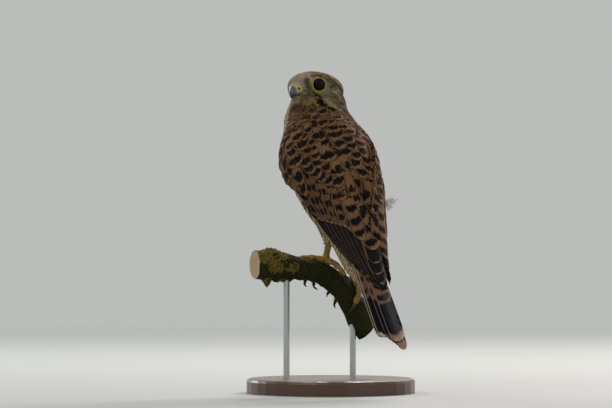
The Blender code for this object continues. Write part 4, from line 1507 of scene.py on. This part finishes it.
for name, feathers in (("quills_left", quills), ("quills_right", [mirrored_quill(f) for f in quills])):
    feather_piece(name, feathers, body_unwrap, 0.06, quill_feathers, arch=0.08 * MM, thick=0.16 * MM)


# The tail
# Twelve long feathers, the middle pair on top. They are rufous barred with black, with a broad
# black band before the buff tip, and the outer ones have pale outer edges.

TAIL_SWING = 0.084  # it runs this much to the bird's left for each millimetre down
TAIL_ENDS = (-215, -50)  # along the spine
TAIL_BEGIN, TAIL_HALF = -56, 13.5  # where it leaves the rump, and half its width
TAIL_TOP = (  # along the spine, height
    (-215, 27.5), (-188, 24.5), (-150, 20.6), (-115, 17.2), (-82, 14.0), (-56, 11.0),
)
TAIL_ROOF = 2.6  # how far the tail's top falls at its edges
TAIL_FEATHERS = (  # root and tip pixels, width, rim, end of the dark band, lift; from the lowest feather up
    ((351.5, 240.0), (384.6, 336.4), 14.0, 2.0, 0.93, -1.7),
    ((354.0, 240.0), (386.6, 336.8), 14.0, 4.0, 0.97, -1.4),
    ((363.0, 250.0), (397.0, 340.5), 10.0, 0.3, 0.88, -2.3),
    ((357.5, 240.0), (388.6, 334.0), 13.0, 0.0, 0.97, -1.2),
    ((363.0, 250.0), (398.0, 342.0), 10.0, 0.3, 0.88, -2.0),
    ((360.0, 240.0), (390.0, 332.0), 12.0, 0.0, 0.97, -1.0),
    ((363.0, 250.0), (400.0, 343.5), 10.0, 0.3, 0.88, -1.7),
    ((357.0, 240.0), (394.6, 340.2), 12.5, 0.9, 0.90, -0.8),
    ((363.5, 250.0), (402.0, 345.5), 10.0, 0.3, 0.88, -1.4),
    ((360.0, 240.0), (396.6, 340.6), 11.5, 0.0, 0.90, -0.6),
    ((364.0, 250.0), (405.4, 349.3), 10.5, 0.4, 0.86, -0.9),
    ((366.5, 250.0), (399.8, 341.2), 15.5, 0.9, 0.885, -0.1),
)
TAIL_PINK = (0.25, 0.150, 0.110)
SLATE_BLACK = (0.006, 0.008, 0.012)


def tail_roof():
    """The tail's top as a surface that runs on past its edges."""
    alongs, offs = spread(*TAIL_ENDS, 40), spread(-30, 30, 25)
    points = []
    for along in alongs:
        for off in offs:
            height = smooth(TAIL_TOP, along)[0] - TAIL_ROOF * (off / TAIL_HALF) ** 2
            points.append(in_body(along, TAIL_SWING * (TAIL_BEGIN - along) + off, height))
    quads = []
    columns = len(offs)
    for ring in range(0, len(points) - columns, columns):
        for corner in range(ring, ring + columns - 1):
            quads.append((corner, corner + 1, corner + 1 + columns, corner + columns))
    return BVHTree.FromPolygons(points, quads)


TAIL_SURFACE = tail_roof()


def on_tail(column, row):
    """The place and outward normal on the tail's top at this pixel."""
    place, normal, _, _ = TAIL_SURFACE.ray_cast(CAMERA_PLACE, sight(column, row))
    return place, normal if normal.dot(DORSAL) > 0 else -normal


tail_vanes = []
for root, tip, width, rim, band_end, lift in TAIL_FEATHERS:
    pale = blend(RUFOUS_PALE, CREAM, 0.9 if rim > 1 else 0.3)
    brown = blend(RUFOUS, QUILL_BLACK, 0.45 if tip[0] < 390 else 0.1)
    colours = (blend(brown, TAIL_PINK, 0.35), SLATE_BLACK, blend(pale, TAIL_PINK, 0.3))
    bars = (1.0, 8.0, 0.35 + 0.1 * chances.random())
    lines = (band_end, rim, 0.3)
    tail_vanes.append(quill(
        root, tip, width, (lift, lift), colours, bars, lines, round_tip=0.9, root_width=0.85, under=on_tail
    ))
tail_finish = feather_finish("tail_feathers", 150, 0.6, 0.84, one_edge=True, end_band=0.56)
tail_quills = feather_piece(
    "tail_feathers", tail_vanes, body_unwrap, 0.1, tail_finish, arch=0.06 * MM, thick=0.16 * MM
)
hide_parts("tail")


# The eyes
# Large dark glossy balls, each set in a ring of bare yellow skin that is widest in front and below.
# The iris is so dark a brown that it hardly parts from the pupil.

RING_TURNS = 72
MARGIN_RISE = 0.25  # of the ring's inner edge over the eyeball
PROBE = 25  # from the eye's centre, surely past the feathers
OUTER_SHARES = (0.8, 0.5, 0.0, 0.0, 0.15, 0.6, 1.0, 1.0, 0.0)  # how dark the ring is, step by step outwards
PUPIL_EDGE, IRIS_EDGE = 0.42, 0.80  # angles from the sight line, in radians

eye_finish = Finish("eye", Roughness=0.04, Specular_IOR_Level=0.11)
from_sight = eye_finish.read("from_sight", 2)
iris_lines = eye_finish.grain(eye_finish.place(), 3.0, 3.0)
iris_colour = eye_finish.mix(iris_lines, (0.004, 0.002, 0.002), (0.011, 0.006, 0.004))
past_pupil = eye_finish.band(from_sight, PUPIL_EDGE, PUPIL_EDGE + 0.05)
past_iris = eye_finish.band(from_sight, IRIS_EDGE, IRIS_EDGE + 0.06)
eye_colour = eye_finish.mix(past_pupil, (0.002, 0.002, 0.003), iris_colour)
eye_finish.feed("Base Color", eye_finish.mix(past_iris, eye_colour, (0.004, 0.003, 0.003)))

ring_finish = Finish("ring_skin", Roughness=0.7, Specular_IOR_Level=0.1)
ring_grain = ring_finish.grain(ring_finish.place(), 1.6, 3.0)
ring_cells = ring_finish.add("TexVoronoi", {0: ring_finish.place(), 2: 1.5})
ring_tone = ring_finish.band(ring_grain, 0.3, 0.7)
ring_tint = ring_finish.mix(ring_tone, (0.20, 0.165, 0.016), (0.35, 0.295, 0.034))
# Paler where the mesh says: painted light on the ring's back half, which faces the lamps behind.
ring_tint = ring_finish.mix(ring_finish.read("wear_and_painted_light", 2), ring_tint, (0.33, 0.31, 0.20))
ring_tint = ring_finish.mix(ring_finish.read("outer", 2), ring_tint, (0.085, 0.075, 0.018))
ring_finish.feed("Base Color", ring_tint)
ring_finish.bump(ring_cells, 0.5, 0.25)


def face_height(centre, axis, off, otherwise):
    """How far along the eye's axis the feathers stand, off to the side of its centre."""
    hit, _, _, _ = envelope.ray_cast(centre + off * MM + axis * PROBE * MM, -axis)
    return (hit - centre).dot(axis) / MM if hit else otherwise


def ring_profile(turn, rim):
    """Reach and height of the ring's section, from under the eyeball's edge out to under the feathers."""
    margin = math.sqrt(EYE_RADIUS**2 - EYE_OPENING**2) + MARGIN_RISE
    opening = EYE_OPENING * (1.0 - 0.09 * abs(math.sin(turn)))
    outer = ring_reach(turn)
    return (
        (opening - 0.5, margin - 1.1),
        (opening - 0.05, margin - 0.1),
        (opening + 0.35, margin + 0.42),
        (opening + 0.85, margin + 0.40 + 0.15 * (rim - margin)),
        (opening * 0.45 + outer * 0.55, margin * 0.5 + rim * 0.5 + 0.15),
        (outer - 0.35, rim + 0.05),
        (outer + 0.25, rim - 0.5),
        (outer + 0.1, rim - 1.6),
        (opening, margin - 2.2),
    )


for side_name, side in SIDES.items():
    centre, axis = eye_centre(side), eye_axis(side)
    eye_front, eye_up = eye_ways(side)
    bpy.ops.mesh.primitive_uv_sphere_add(segments=48, ring_count=28, radius=EYE_RADIUS * MM)
    eye = bpy.context.object
    eye.name = "eyeball_" + side_name
    bpy.ops.object.shade_smooth()
    eye.data.transform(axis.to_track_quat("Z", "Y").to_matrix().to_4x4())
    eye.data.transform(Matrix.Translation(centre))
    store(eye.data, "from_sight", [(v.co - centre).angle(axis) for v in eye.data.vertices])
    eye.data.materials.append(eye_finish.material)
    eye.select_set(False)
    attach(eye, "root")
    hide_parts("eye_" + side_name)

    ring_outs = [swung(eye_front, eye_up, turn) for turn in turns(RING_TURNS)]
    heights = [
        face_height(centre, axis, out * ring_reach(turn), 3.0)
        for out, turn in zip(ring_outs, turns(RING_TURNS))
    ]
    ring_points, wear_and_painted_light, outermost = [], [], []
    for i, (out, turn) in enumerate(zip(ring_outs, turns(RING_TURNS))):
        eased_height = sum(heights[(i + k) % RING_TURNS] for k in range(-3, 4)) / 7
        for k, (reach, height) in enumerate(ring_profile(turn, eased_height + 0.15)):
            if 3 <= k <= 5:
                height = max(height, face_height(centre, axis, out * reach, -9.0) + 0.2)
            wrinkle = 0.10 * math.sin(turn * 26 + k) + 0.08 * math.sin(turn * 11) if 2 <= k <= 5 else 0.0
            ring_points.append(centre + out * reach * MM + axis * (height + wrinkle) * MM)
            # The ring's back half is painted paler: painted light from the lamps behind.
            wear_and_painted_light.append(0.5 * max(0.0, -math.cos(turn + math.radians(10))) ** 2)
            outermost.append(OUTER_SHARES[k])
    steps = len(OUTER_SHARES)
    ring_quads = []
    for i in range(RING_TURNS):
        here, after = i * steps, (i + 1) % RING_TURNS * steps
        for k in range(steps):
            m = (k + 1) % steps
            ring_quads.append((here + k, after + k, after + m, here + m))
    eye_ring = solid_of("eye_ring_" + side_name, ring_points, ring_quads, ring_finish)
    store(eye_ring.data, "wear_and_painted_light", wear_and_painted_light)
    store(eye_ring.data, "outer", outermost)
    rounded = eye_ring.modifiers.new("rounded", "SUBSURF")
    rounded.levels = rounded.render_levels = 1
    bpy.context.view_layer.objects.active = eye_ring
    bpy.ops.object.modifier_apply(modifier="rounded")
    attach(eye_ring, "root")


# The bill
# A yellow waxy cere with round nostrils wraps the root of a short hooked slate-blue upper bill
# whose tip is near black. The lower bill is smaller and shuts inside it.

UPPER_BILL = (  # station, ridge forwards and up, cutting edge forwards and up, half width
    (0.0, 20.8, 1.2, 20.8, -8.0, 5.2),
    (1.0, 24.1, 0.6, 23.3, -8.3, 4.7),
    (2.0, 26.4, -1.2, 24.5, -8.5, 4.0),
    (3.0, 27.9, -4.0, 25.3, -8.7, 3.1),
    (4.0, 28.4, -7.0, 25.9, -9.0, 2.1),
    (5.0, 28.1, -9.4, 26.4, -9.6, 1.2),
    (6.0, 27.2, -11.2, 26.7, -11.1, 0.35),
)
LOWER_BILL = (  # forwards, middle height, half height, half width
    (17.0, -10.3, 1.9, 5.0),
    (20.0, -10.4, 1.8, 4.5),
    (23.0, -10.2, 1.2, 3.6),
    (24.9, -10.1, 0.8, 2.0),
    (25.6, -10.0, 0.3, 0.9),
)
TOOTH_STATION = 4.3  # where the falcon's tooth stands down from the cutting edge
SLATE = (0.075, 0.092, 0.110)
SLATE_PALE_AND_HIGHLIGHT = (0.17, 0.19, 0.235)
TIP_BLACK = (0.012, 0.012, 0.014)
CERE_YELLOW = (0.42, 0.32, 0.040)
BILL_SIDES = 40


def fall(turn):
    """0 at the top of a section and 1 at its bottom."""
    return (1 - math.cos(turn)) / 2


def bill_ring(station, sides=BILL_SIDES):
    """A section of the upper bill, narrow at its ridge and fuller towards its cutting edges."""
    ridge_front, ridge_up, edge_front, edge_up, width = smooth(UPPER_BILL, station)
    edge_up -= 0.45 * math.exp(-(((station - TOOTH_STATION) / 0.3) ** 2))
    ring = []
    for turn in turns(sides):
        down = fall(turn)
        fuller = math.copysign(abs(math.sin(turn)) ** 0.85, math.sin(turn)) * (0.86 + 0.22 * down)
        front = ridge_front + (edge_front - ridge_front) * down
        ring.append(in_head(front, width * fuller, ridge_up + (edge_up - ridge_up) * down))
    return ring


horn_finish = Finish("bill_horn", Roughness=0.32, Specular_IOR_Level=0.4)
horn_lines = horn_finish.grain(horn_finish.place(), 0.9, 4.0)
horn_tone = horn_finish.band(horn_lines, 0.25, 0.75, 0.82, 1.12)
horn_finish.feed("Base Color", horn_finish.shade(horn_finish.read("ground"), horn_tone))
horn_finish.bump(horn_lines, 0.12, 0.15)

stations = spread(0.7, UPPER_BILL[-1][0], 34)
upper_points = [point for station in stations for point in bill_ring(station)]
upper_bill = lofted("bill_upper_horn", upper_points, BILL_SIDES, horn_finish)
upper_colours = []
for station in stations:
    for low in map(fall, turns(BILL_SIDES)):
        # Paler slate at the root is the horn's own; the pale band along the cutting edge of the base half is
        # a painted highlight.
        pale = step(low, 0.70, 0.92) * (1 - step(station, 2.4, 3.4)) + 0.25 * (1 - step(station, 0.9, 1.6))
        tip_share = step(station + 0.8 * low, 3.4, 5.4)
        upper_colours.append(blend(blend(SLATE, SLATE_PALE_AND_HIGHLIGHT, pale), TIP_BLACK, tip_share))
paint(upper_bill.data, "ground", upper_colours)
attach(upper_bill, "root")
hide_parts("bill_upper")

lower_points, lower_colours = [], []
for front in spread(LOWER_BILL[0][0], LOWER_BILL[-1][0], 18):
    up, half, width = smooth(LOWER_BILL, front)
    for turn in turns(BILL_SIDES):
        lower_points.append(in_head(front, width * math.sin(turn), up + half * math.cos(turn)))
        lower_colours.append(blend(THROAT_BUFF, SLATE, step(front, 21.4, 23.4)))
lower_bill = lofted("bill_lower_horn", lower_points, BILL_SIDES, horn_finish)
paint(lower_bill.data, "ground", lower_colours)
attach(lower_bill, "root")
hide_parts("bill_lower")

CERE_RINGS, CERE_SIDES = 22, 80
CERE_HIGHLIGHT = (0.36, 0.33, 0.21)
LIP_GREY = (0.20, 0.20, 0.25)
NOSTRIL_SHADE = (0.010, 0.008, 0.005)
NOSTRIL = (22.2, -2.4)  # forwards and up
NOSTRIL_RADIUS = 1.0
cere_front = bill_ring(1.06, CERE_SIDES)
cere_points, cere_colours = [], []
for share in spread(0, 1, CERE_RINGS):
    for front_point, turn in zip(cere_front, turns(CERE_SIDES)):
        aside = abs(math.sin(turn))
        face_left = math.copysign(1.6 + 5.8 * aside, math.sin(turn)) if aside > 0.02 else 0.0
        near, near_normal = hugging(envelope, in_head(20.2 - 3.4 * aside, face_left, 1.6 - 9.8 * fall(turn)))
        point = front_point.lerp(near - near_normal * 0.3 * MM, share)
        out = (point - in_head(18, 0, -4.0)).normalized()
        point += out * 0.7 * math.sin(math.pi * min(1.0, share * 1.1)) * MM * aside
        front, left, up = head_place(point)
        pit = math.hypot(front - NOSTRIL[0], up - NOSTRIL[1]) if abs(left) > 1.5 else 9.0
        rim = 0.25 * math.exp(-(((pit - NOSTRIL_RADIUS * 1.4) / 0.45) ** 2))
        hollow = 1.3 * (1 - step(pit, NOSTRIL_RADIUS * 0.55, NOSTRIL_RADIUS * 1.1))
        point += out * (rim - hollow) * MM
        # The cere is painted paler on its top: a painted highlight.
        tint = blend(CERE_YELLOW, CERE_HIGHLIGHT, step(up, -1.6, 0.2))
        tint = blend(tint, LIP_GREY, step(-up, 5.0, 6.0) * step(front, 17.0, 18.5))
        # The nostril's hollow is painted near black: painted shade of its depth.
        nostril_shade = 1 - step(pit, NOSTRIL_RADIUS * 0.8, NOSTRIL_RADIUS * 1.1)
        cere_points.append(point)
        cere_colours.append(blend(tint, NOSTRIL_SHADE, nostril_shade))
cere_finish = Finish("cere_wax", Roughness=0.45, Specular_IOR_Level=0.3, Subsurface_Weight=0.05)
cere_grain = cere_finish.grain(cere_finish.place(), 1.2, 3.0)
wax_tone = cere_finish.band(cere_grain, 0.3, 0.7, 0.75, 1.15)
cere_finish.feed("Base Color", cere_finish.shade(cere_finish.read("ground"), wax_tone))
cere_finish.bump(cere_grain, 0.3, 0.2)
cere = lofted("cere_wax", cere_points, CERE_SIDES, cere_finish)
paint(cere.data, "ground", cere_colours)
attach(cere, "root")
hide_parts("cere")


def way_at(path, k):
    """The direction of a path of places at its place k."""
    return (path[min(k + 1, len(path) - 1)] - path[max(k - 1, 0)]).normalized()


def tube_points(path, radii, sides):
    """Rings of a round solid along a path of places."""
    points = []
    for k, (place, radius) in enumerate(zip(path, radii)):
        along = way_at(path, k)
        side = along.cross(Vector((0.3, -0.2, 1))).normalized()
        for turn in turns(sides):
            points.append(place + swung(side, side.cross(along), turn) * radius * MM)
    return points


GAPE = (  # columns and rows of the photograph
    (303.4, 92.9), (305.2, 93.2), (307.4, 94.0),
)
GAPE_STEPS, GAPE_SIDES = 9, 12
gape_path, gape_radii = [], []
for t in spread(0, 1, GAPE_STEPS):
    place, normal = seen(*along_pixels(GAPE, t))
    gape_path.append(place + normal * 0.25 * MM)
    gape_radii.append(0.55 * (1 - t) ** 0.6 + 0.12)
for side_name, side in SIDES.items():
    path = []
    for place in gape_path:
        front, left, up = head_place(place)
        path.append(in_head(front, side * left, up))
    gape = lofted("gape_" + side_name, tube_points(path, gape_radii, GAPE_SIDES), GAPE_SIDES, cere_finish)
    paint(gape.data, "ground", [blend(CERE_YELLOW, LIP_GREY, 0.5)] * len(gape.data.vertices))
    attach(gape, "root")


# The legs and feet
# Short strong shanks and toes in ochre-yellow scaly skin: broad plates down the front of the shank
# and along the top of each toe, small round scales between, and soft pads below. The claws are
# black horn.

FOOT_PLACES = {"left": -13.0, "right": 8.0}  # right of the trunk's centre, along the perch
TOES = {  # how far along the perch a toe runs, and degrees round it at its root and its end
    "left": {"outer": (-19, 6, 40), "middle": (-10, 14, 134), "inner": (-1, 20, 138), "hind": (13, -2, -48)},
    "right": {"outer": (13, 10, 96), "middle": (3, 18, 126), "inner": (-4, 20, 120), "hind": (7, -2, -98)},
}
SHANK_RADII = ((0, 3.6), (0.3, 3.2), (0.6, 3.0), (0.85, 3.5), (1.0, 4.5))
TOE_RADIUS = 2.6
TOE_GAP = 0.35  # between a toe's pads and the bark's mean outline, which the bark's ridges fill
FREE_CLAWS = ("middle", "inner")  # these hang free of the bark
CLAW_LENGTH = 10.5
CLAW_RADIUS = 1.7
PLATE_LENGTH = 1.9  # of one plate on a toe
LEG_SIDES, CLAW_SIDES = 28, 16
SHANK_STEPS, TOE_STEPS, CLAW_STEPS = 60, 44, 14
BALL = (  # shifts along the perch and radii of the ball of the foot
    (-3.6, 1.2), (-3.0, 2.8), (-1.5, 4.1), (0, 4.6), (1.5, 4.1), (3.0, 2.8), (3.6, 1.2),
)

leg_finish = Finish("leg_skin", Roughness=0.5, Specular_IOR_Level=0.3)
scales = leg_finish.add("TexVoronoi", {0: leg_finish.place(), 2: 0.60}, feature="DISTANCE_TO_EDGE")
leg_grain = leg_finish.grain(leg_finish.place(), 0.45, 4.0)
leg_tint = leg_finish.mix(leg_finish.band(leg_grain, 0.3, 0.7), (0.25, 0.135, 0.016), (0.46, 0.31, 0.050))
seams = leg_finish.math("MAXIMUM", leg_finish.band(scales, 0.02, 0.20, 1.0, 0.0), leg_finish.read("seam", 2))
leg_finish.feed("Base Color", leg_finish.mix(leg_finish.times(seams, 0.8), leg_tint, (0.075, 0.036, 0.009)))
leg_finish.bump(leg_finish.band(scales, 0.0, 0.25), 0.6, 0.3)
claw_finish = grained(
    "claw_horn", 1.1, 3.0, (0.008, 0.008, 0.009), (0.035, 0.032, 0.030), 0.1, 0.1,
    Roughness=0.25, Specular_IOR_Level=0.4,
)


def length_of(path):
    return sum((b - a).length for a, b in zip(path, path[1:])) / MM


def scaled_limb(path, radii, top_of, length):
    """A limb with raised plates along one side, parted by seams, and three pads on the other."""
    points, seam_shares = [], []
    run = 0.0
    for k, (place, radius) in enumerate(zip(path, radii)):
        along = way_at(path, k)
        if k:
            run += (path[k] - path[k - 1]).length / MM
        up = top_of(place)
        up = (up - along * up.dot(along)).normalized()
        side = up.cross(along)
        plate = (run / PLATE_LENGTH) % 1.0
        seam = 1 - step(min(plate, 1 - plate), 0.04, 0.16)
        pad = 0.5 - 0.5 * math.cos(math.tau * run / (length / 3.0))
        for turn in turns(LEG_SIDES):
            topside = step(math.cos(turn), 0.25, 0.6)
            underside = step(-math.cos(turn), 0.2, 0.9)
            off = radius + topside * (0.16 - 0.34 * seam) + underside * (0.45 * pad - 0.2)
            points.append(place + swung(up, side, turn) * off * MM)
            seam_shares.append(seam * topside)
    return points, seam_shares


def along_toe(leg, toe, share, off):
    """The place at this share of a toe's way round the perch, past its end too, and off the bark."""
    run, *turned_by = TOES[leg][toe]
    return on_perch(FOOT_PLACES[leg] + run * share, between(turned_by, share), TOE_RADIUS + TOE_GAP + off)


def toe_path(leg, toe):
    return [
        along_toe(leg, toe, t, 1.6 * math.sin(math.pi * t) * (1 - t)) for t in spread(0, 1, TOE_STEPS)
    ]


def away_from_perch(place):
    """The outward direction from the perch's middle line."""
    centres = [perch_centre(right) for right in spread(-76, 31, 80)]
    nearest = min(centres, key=lambda centre: (centre - place).length)
    return (place - nearest).normalized()


def claw_path(leg, toe, toe_points):
    """The curve and radii of a claw from its toe's end: down and inwards, or on along the bark."""
    end = toe_points[-1]
    along = (end - toe_points[-2]).normalized()
    inward = (perch_centre(FOOT_PLACES[leg] + TOES[leg][toe][0]) - end).normalized()
    heading = (along - inward * 0.35).normalized()
    toe_length = length_of(toe_points)
    strides = CLAW_STEPS - 1
    point = end + along * 0.2 * MM
    path, radii = [], []
    for share in spread(0, 1, CLAW_STEPS):
        if toe in FREE_CLAWS:
            path.append(point.copy())
            heading = (heading + (inward * 0.14 + Vector((0.13, 0, 0))) * 5 / strides).normalized()
            point = point + heading * CLAW_LENGTH * MM / strides
        else:
            t = 1 + (0.3 + share * CLAW_LENGTH) / toe_length
            path.append(along_toe(leg, toe, t, 1.2 * math.sin(math.pi * share) - 1.5 * share**2))
        radii.append(CLAW_RADIUS * (1 - share) ** 0.8 + 0.16)
    return path, radii


def joined_limb(name, limbs, node):
    """One object of several closed limbs that grow from one another."""
    points, faces, seams = [], [], []
    for limb_points, limb_seams in limbs:
        faces += ring_faces(limb_points, LEG_SIDES, len(points))
        points += limb_points
        seams += limb_seams
    made = solid_of(name, points, faces, leg_finish)
    store(made.data, "seam", seams)
    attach(made, "root")
    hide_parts(node)


for leg, start in FOOT_PLACES.items():
    foot_top = on_perch(start, 4, TOE_RADIUS + 1.6)
    ankle = TRUNK_CENTRE + ANKLES[leg] * MM
    top = ankle + (ankle - foot_top).normalized() * 3 * MM
    path = [top.lerp(foot_top, t) for t in spread(0, 1, SHANK_STEPS)]
    radii = [smooth(SHANK_RADII, t)[0] for t in spread(0, 1, SHANK_STEPS)]
    joined_limb("shank_" + leg, [scaled_limb(path, radii, lambda place: BODY_LEVEL, 40)], "tarsus_" + leg)
    toes = []
    for toe in TOES[leg]:
        path, radii = toe_path(leg, toe), []
        for t in spread(0, 1, TOE_STEPS):
            knuckle = 0.14 * math.sin(math.pi * 3 * t) ** 2
            radii.append(TOE_RADIUS * (1.10 - 0.24 * t + knuckle) * (1 - 0.25 * step(t, 0.93, 1.0)))
        toes.append(scaled_limb(path, radii, away_from_perch, length_of(path)))
        claw_points = tube_points(*claw_path(leg, toe, path), CLAW_SIDES)
        claw = lofted(f"talon_{leg}_{toe}", claw_points, CLAW_SIDES, claw_finish)
        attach(claw, "root")
        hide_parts(f"claw_{leg}_{toe}")
    path = [on_perch(start + shift, 4, TOE_RADIUS + 1.6) for shift, _ in BALL]
    toes.append(scaled_limb(path, [radius for _, radius in BALL], away_from_perch, 12))
    joined_limb("toes_" + leg, toes, "foot_" + leg)


# The tuft of down at the right flank
# A few loose white down barbs that stick out past the right wing's edge.

DOWN_ROOT = (386.6, 203.5)  # in the photograph's columns and rows
DOWN_TIPS = (
    (400.0, 198.5), (398.6, 201.2), (397.0, 204.0), (393.6, 207.4), (391.0, 209.6), (388.8, 210.6),
    (394.5, 200.5),
)
DOWN_DEPTH = 0.004  # behind the plane of the photograph's scale
DOWN_STRANDS, DOWN_STEPS, DOWN_SIDES = 7, 10, 5
down_finish = grained("white_down", 1.0, 2.0, (0.80, 0.79, 0.77), (0.92, 0.91, 0.89), 0.3, 0.2, Roughness=0.9)


def at_depth(column, row, depth):
    """The place at this pixel, depth metres behind the stand's middle."""
    way = sight(column, row)
    return CAMERA_PLACE + way * ((depth - CAMERA_PLACE.y) / way.y)


down_points, down_faces = [], []
for tip in DOWN_TIPS:
    for _ in range(DOWN_STRANDS):
        root = Vector(DOWN_ROOT) + Vector((chances.normal(0, 0.3), chances.normal(0, 1.6)))
        end = Vector(tip) + Vector((chances.normal(0, 0.8), chances.normal(0, 0.7)))
        droop = chances.normal(0.8, 0.7)
        sway = chances.normal(0, 0.002)
        path, radii = [], []
        for t in spread(0, 1, DOWN_STEPS):
            spot = root.lerp(end, t) + Vector((0, -droop * 4 * t * (1 - t)))
            path.append(at_depth(spot.x, spot.y, DOWN_DEPTH + sway * t))
            radii.append(0.42 * (1 - t) + 0.16)
        strand = tube_points(path, radii, DOWN_SIDES)
        down_faces += ring_faces(strand, DOWN_SIDES, len(down_points))
        down_points += strand
flank_down = solid_of("flank_down", down_points, down_faces, down_finish)
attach(flank_down, "root")
